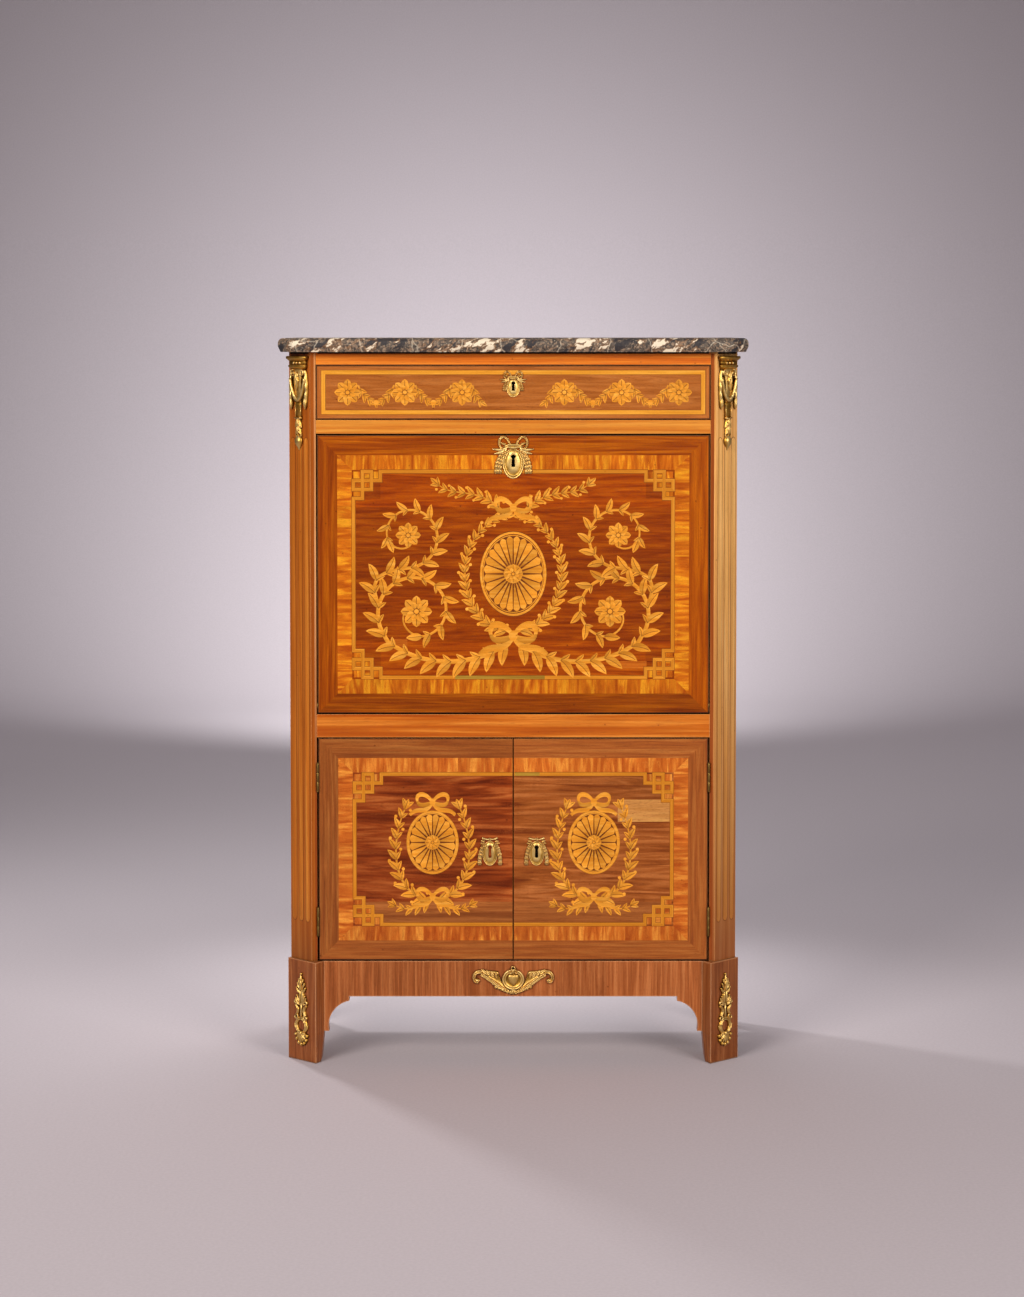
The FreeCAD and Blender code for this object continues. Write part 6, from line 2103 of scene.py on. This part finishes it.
@dataclass
class WritingSide:
    """The inside of the fall: gilt lines and leaves tooled round the edge of the leather."""

    half_width: float = 300.0
    low: float = 777.0
    high: float = 1156.0
    lines: tuple[Point, ...] = ((12.0, 1.6), (15.5, 0.8), (30.0, 0.8))
    leaf_depth: float = 23.0
    leaf_step: float = 12.0
    leaf_half: Point = (2.4, 3.4)

    def build(self) -> None:
        """Lays the gilt tooling: lines by depth and width, and a row of leaves between them."""
        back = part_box("writing_leather")[1].y / MM
        shape = Shape(Plane(Vector((0, back, 0)), Vector((-1, 0, 0)), Vector((0, 1, 0))))
        for depth, width in self.lines:
            u, b, t = self.half_width - depth, self.low + depth, self.high - depth
            shape.strip(rectangle(-u, u, b, t), width, TOOLING_TOP, closed=True)
        depth, step, (thin, long) = self.leaf_depth, self.leaf_step, self.leaf_half
        edge, b, t = self.half_width - depth, self.low + depth, self.high - depth
        for n in range(int(2 * edge / step) + 1):
            for v in (b, t):
                shape.prism(oval((-edge + n * step, v), thin, long, 8), TOOLING_TOP)
        for n in range(1, int((t - b) / step)):
            for u in (-edge, edge):
                shape.prism(oval((u, b + n * step), long, thin, 8), TOOLING_TOP)
        shape.finish("leather_tooling", "fall", [GILT_BRONZE.material()])


@dataclass
class DrawerKnob:
    """A turned brass knob over the plain one of a small drawer, with a bead, a groove and a round plate."""

    node: str
    reach: float = 14.0
    profile: tuple[tuple[float, float, float], ...] = (
        (8.0, -0.4, -1.0), (8.0, 0.5, -0.2), (7.4, 1.2, 0.6), (6.4, 1.3, 0.5), (5.8, 0.8, -0.8),
        (4.6, 1.6, 0.2), (4.0, 2.4, -0.6), (4.4, 3.2, -0.5), (5.6, 4.6, 0.2), (6.2, 6.0, 0.5),
        (6.4, 6.8, -0.5), (7.0, 7.4, 0.7), (7.0, 8.4, 0.8), (6.4, 9.0, -0.5), (6.1, 10.0, 0.5),
        (5.2, 12.0, 0.7), (3.8, 13.3, 0.8), (2.2, 14.2, 0.9), (0.3, 14.5, 0.9),
    )

    def build(self) -> None:
        """Turns the knob on the middle of the drawer's front."""
        low, high = (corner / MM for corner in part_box(self.node))
        front = Vector(((low.x + high.x) / 2, low.y + self.reach, 0))
        shape = Shape(Plane(front, Vector((1, 0, 0)), Vector((0, -1, 0))))
        centre = (0.0, (low.z + high.z) / 2)
        shape.rings([[(u, v, w, tone) for u, v in oval(centre, r, r, 28)] for r, w, tone in self.profile])
        shape.finish(f"{self.node}_knob", self.node, [TURNED_BRASS.material()], smooth=True)


@dataclass
class Studio:
    """The pale floor and backdrop, the soft lights and the camera."""

    camera_distance: float = 6.0
    camera_height: float = 1.449
    camera_side: float = -0.0024
    pitch_deg: float = 3.06
    lens_mm: float = 82.72
    shift: float = -0.124
    floor_near: float = -45.0
    cove_start: float = 5.3
    cove_radius: float = 1.9
    wall_top: float = 7.0
    half_width: float = 45.0
    floor_drop: float = 0.0005
    sensor_mm: float = 36.0
    air: str = "#E6E0E6"
    air_strength: float = 0.3

    def backdrop(self) -> None:
        """Builds the floor that sweeps up into a wall."""
        profile = [(self.floor_near, 0.0), (self.cove_start, 0.0)]
        radius = self.cove_radius
        for a in arc_steps(6, 90, 22):
            profile.append((self.cove_start + radius * math.sin(a), radius * (1 - math.cos(a))))
        profile.append((self.cove_start + radius, self.wall_top))
        edges = (-self.half_width, self.half_width)
        points = [(x, y, z - self.floor_drop) for x in edges for y, z in profile]
        size = len(profile)
        faces = [(i, i + size, i + size + 1, i + 1) for i in range(size - 1)]
        mesh = bpy.data.meshes.new("studio_sweep")
        mesh.from_pydata(points, [], faces)
        mesh.polygons.foreach_set("use_smooth", [True] * len(faces))
        mesh.materials.append(StudioPaper().material())
        sweep = bpy.data.objects.new("studio_sweep", mesh)
        bpy.context.scene.collection.objects.link(sweep)

    def light(
        self, name: str, spot: Sequence[float], aim: Sequence[float], size: float, watts: float,
        colour: str = "#FFFFFF", spread_deg: float = 180.0, in_gloss: bool = False,
    ) -> None:
        """Hangs one square soft light.

        Args:
            name: its name.
            spot: where it hangs.
            aim: what it shines on.
            size: the side of the square in metres.
            watts: its power.
            colour: its colour.
            spread_deg: how wide its grid lets the light out.
            in_gloss: whether polished surfaces mirror it.
        """
        data = bpy.data.lights.new(name, "AREA")
        data.size, data.energy, data.color = size, watts, linear(colour)[:3]
        data.spread = math.radians(spread_deg)
        lamp = bpy.data.objects.new(name, data)
        lamp.location = spot
        lamp.rotation_euler = (Vector(aim) - Vector(spot)).to_track_quat("-Z", "Y").to_euler()
        lamp.visible_camera, lamp.visible_glossy = False, in_gloss
        bpy.context.scene.collection.objects.link(lamp)

    def build(self) -> None:
        """Sets up the backdrop, the lights, the world and the camera."""
        scene = bpy.context.scene
        self.backdrop()
        self.light("key_softbox", (-2.6, -4.4, 3.3), (0, -0.1, 0.7), 2.2, 79, "#FFF8F0", 110, in_gloss=True)
        self.light("fill_softbox", (2.8, -4.4, 2.6), (0, -0.1, 0.6), 2.2, 62, "#FFF8F2", 110, in_gloss=True)
        self.light("back_lamp", (-1.3, 1.4, 2.3), (0.3, -0.6, 0.0), 0.22, 31)
        self.light("floor_lamp", (0, 0.9, 0.8), (0, 0.2, 0.0), 0.7, 4.6, spread_deg=120)
        self.light("halo_lamp", (-0.15, 3.9, 1.2), (-0.15, 7.2, 0.3), 1.0, 46, spread_deg=112)
        self.light("wall_wash", (0, 3.6, 5.2), (0, 4.2, 0.0), 5.0, 26, spread_deg=110)
        world = bpy.data.worlds.new("studio_air")
        world.use_nodes = True
        sky = world.node_tree.nodes["Background"].inputs
        sky["Color"].default_value = linear(self.air)
        sky["Strength"].default_value = self.air_strength
        scene.world = world
        data = bpy.data.cameras.new("photo_camera")
        data.sensor_fit, data.sensor_width = "AUTO", self.sensor_mm
        data.lens, data.shift_y = self.lens_mm, self.shift
        camera = bpy.data.objects.new("photo_camera", data)
        camera.location = (self.camera_side, -self.camera_distance, self.camera_height)
        camera.rotation_euler = Euler((math.radians(90 - self.pitch_deg), 0, 0))
        scene.collection.objects.link(camera)
        scene.camera = camera
        scene.view_settings.view_transform = "Standard"


def panels() -> list[FramedPanel]:
    """Lists the framed panels of the front and the sides.

    Returns:
        The panels, with their edges in millimetres.
    """
    edge, low, high = 383.5, 203.0, 643.5
    fall_patches = (
        Patch(-114, 62, 760.6, 767.4, OLIVE_LINE, LINE_TOP + REPAIR_RISE),
        Patch(-234, -208, 822, 840, GROUND_PATCH), Patch(208, 262, 782, 796, GROUND_PATCH),
    )
    door_patches = (
        Patch(206, 309, 478, 522, PATCH_WOOD), Patch(3, 52, 569.1, 575.9, OLIVE_LINE, LINE_TOP + REPAIR_RISE),
        Patch(1.6, 312, 274, 319, DOOR_FOOT_SHEET, SHEET_TOP),
    )
    found = [
        FramedPanel(
            "fall", "fall", FRONT, -384, 384, 693, 1240, FALL_GROUND, keyhole=FALL_KEYHOLE,
            patches=fall_patches, fades=(
                Fade(-312, -212, 836, 1098, -0.3, 0.0), Fade(190, 312, 836, 1000, 0.0, -0.4),
                Fade(-260, 260, 767, 817, 0.5, 0.5), Fade(-311, 311, 817, 835, 0.5, 0.5),
                Fade(-311, 311, 1099, 1116, 0.6, 0.6), Fade(-260, 260, 1116, 1166, 0.6, 0.6),
            ),
            tones=(-0.38, 0.2, -0.08, 0.34), band_low_tone=-0.24,
        ),
        FramedPanel(
            "left_door", "left_door", FRONT, -edge, -1, low, high, LEFT_DOOR_GROUND, open_side=1,
            border_wood=DOOR_BORDER, band_wood=DOOR_BAND,
            patches=(Patch(-312, -1.6, 274, 319, DOOR_FOOT_SHEET, SHEET_TOP),),
            fades=(Fade(-46, -1.6, 319, 574, 0.0, 0.4),), tones=(0.05, -0.15, -0.3, 0.0), band_low_tone=-0.2,
        ),
        FramedPanel(
            "right_door", "right_door", FRONT, 1, edge, low, high, RIGHT_DOOR_GROUND, open_side=-1,
            keyhole=DOOR_KEYHOLE, border_wood=DOOR_BORDER, band_wood=DOOR_BAND, patches=door_patches,
            fades=(Fade(90, 312, 523, 574, -0.1, -0.45),), tones=(0.08, 0.3, 0.0, 0.0),
            band_low_tone=-0.2,
        ),
        FramedPanel(
            "drawer", "frieze_drawer", FRONT, -385, 385, 1271.5, 1376.5, DRAWER_GROUND, border=9.5,
            band=0.0, line=8.0, key_unit=0, keyhole=DRAWER_KEYHOLE, border_wood=DRAWER_BORDER,
            line_wood=PALE_LINE,
        ),
    ]
    side_face, side_front, side_back = 433.0, -123.5, 156.0
    for name, side in (("left", -1), ("right", 1)):
        plane = Plane(Vector((side * side_face, 0, 0)), Vector((0, side, 0)), Vector((side, 0, 0)))
        ends = sorted((side * side_front, side * side_back))
        found.append(
            FramedPanel(
                f"{name}_side", "carcass", plane, *ends, 201, 1403, FALL_GROUND, border=30, band=22, line=5,
                key_unit=13, level=Grain.Y,
            )
        )
    return found


def main() -> None:
    logging.basicConfig(level=logging.INFO, format="%(name)s: %(message)s")
    Timber().dress()
    for panel in panels():
        panel.build()
    FallMotif().build()
    for name, side in (("left", -1), ("right", 1)):
        DoorMotif(f"{name}_door", middle=(side * 159, 421)).build()
    DrawerMotif().build()
    # Painted light: the left slip is the lit copy, the right one the shaded copy.
    for name, side, flute, slip, wide in (
        ("left", -1, FLUTE_WOOD, LIT_SLIP, 4.2), ("right", 1, PALE_FLUTE, SHADED_SLIP, 8.0)
    ):
        PostInlay(f"{name}_post", side, flute, slip, slip=wide).build()
        CornerMount(f"{name}_corner_mount", side).build()
        FootMount(f"{name}_foot_mount", side).build()
    ApronMount().build()
    Escutcheon(
        "fall_escutcheon", "fall", FALL_KEYHOLE, half_width=21.2, half_height=29.8, drop=5.5, crest=48.0,
        reach=37.0, swag_width=14.5, swag_low=-25.0,
    ).build()
    Escutcheon(
        "drawer_escutcheon", "frieze_drawer", DRAWER_KEYHOLE, half_width=13.6, half_height=18.0, drop=4.0,
        crest=29.0, reach=20.5, swag_width=6.5, swag_low=-9.5, head=3.8, slot_half=9.0,
    ).build()
    across, level = DOOR_KEYHOLE
    for name, side in (("left", -1), ("right", 1)):
        Escutcheon(
            f"{name}_door_escutcheon", f"{name}_door", (side * across, level), half_width=15.3,
            half_height=24.5, drop=3.7, crest=28.0, reach=24.5, swag_width=8.5, swag_low=-27.0,
            tie=Tie.FLAT, head=4.2, slot_half=12.0, sham=side < 0,
        ).build()
    MarbleShadow().build()
    WritingSide().build()
    for name in INNER_DRAWERS:
        DrawerKnob(f"{name}_inner_drawer").build()
    Studio().build()


if __name__ == "__main__":
    main()
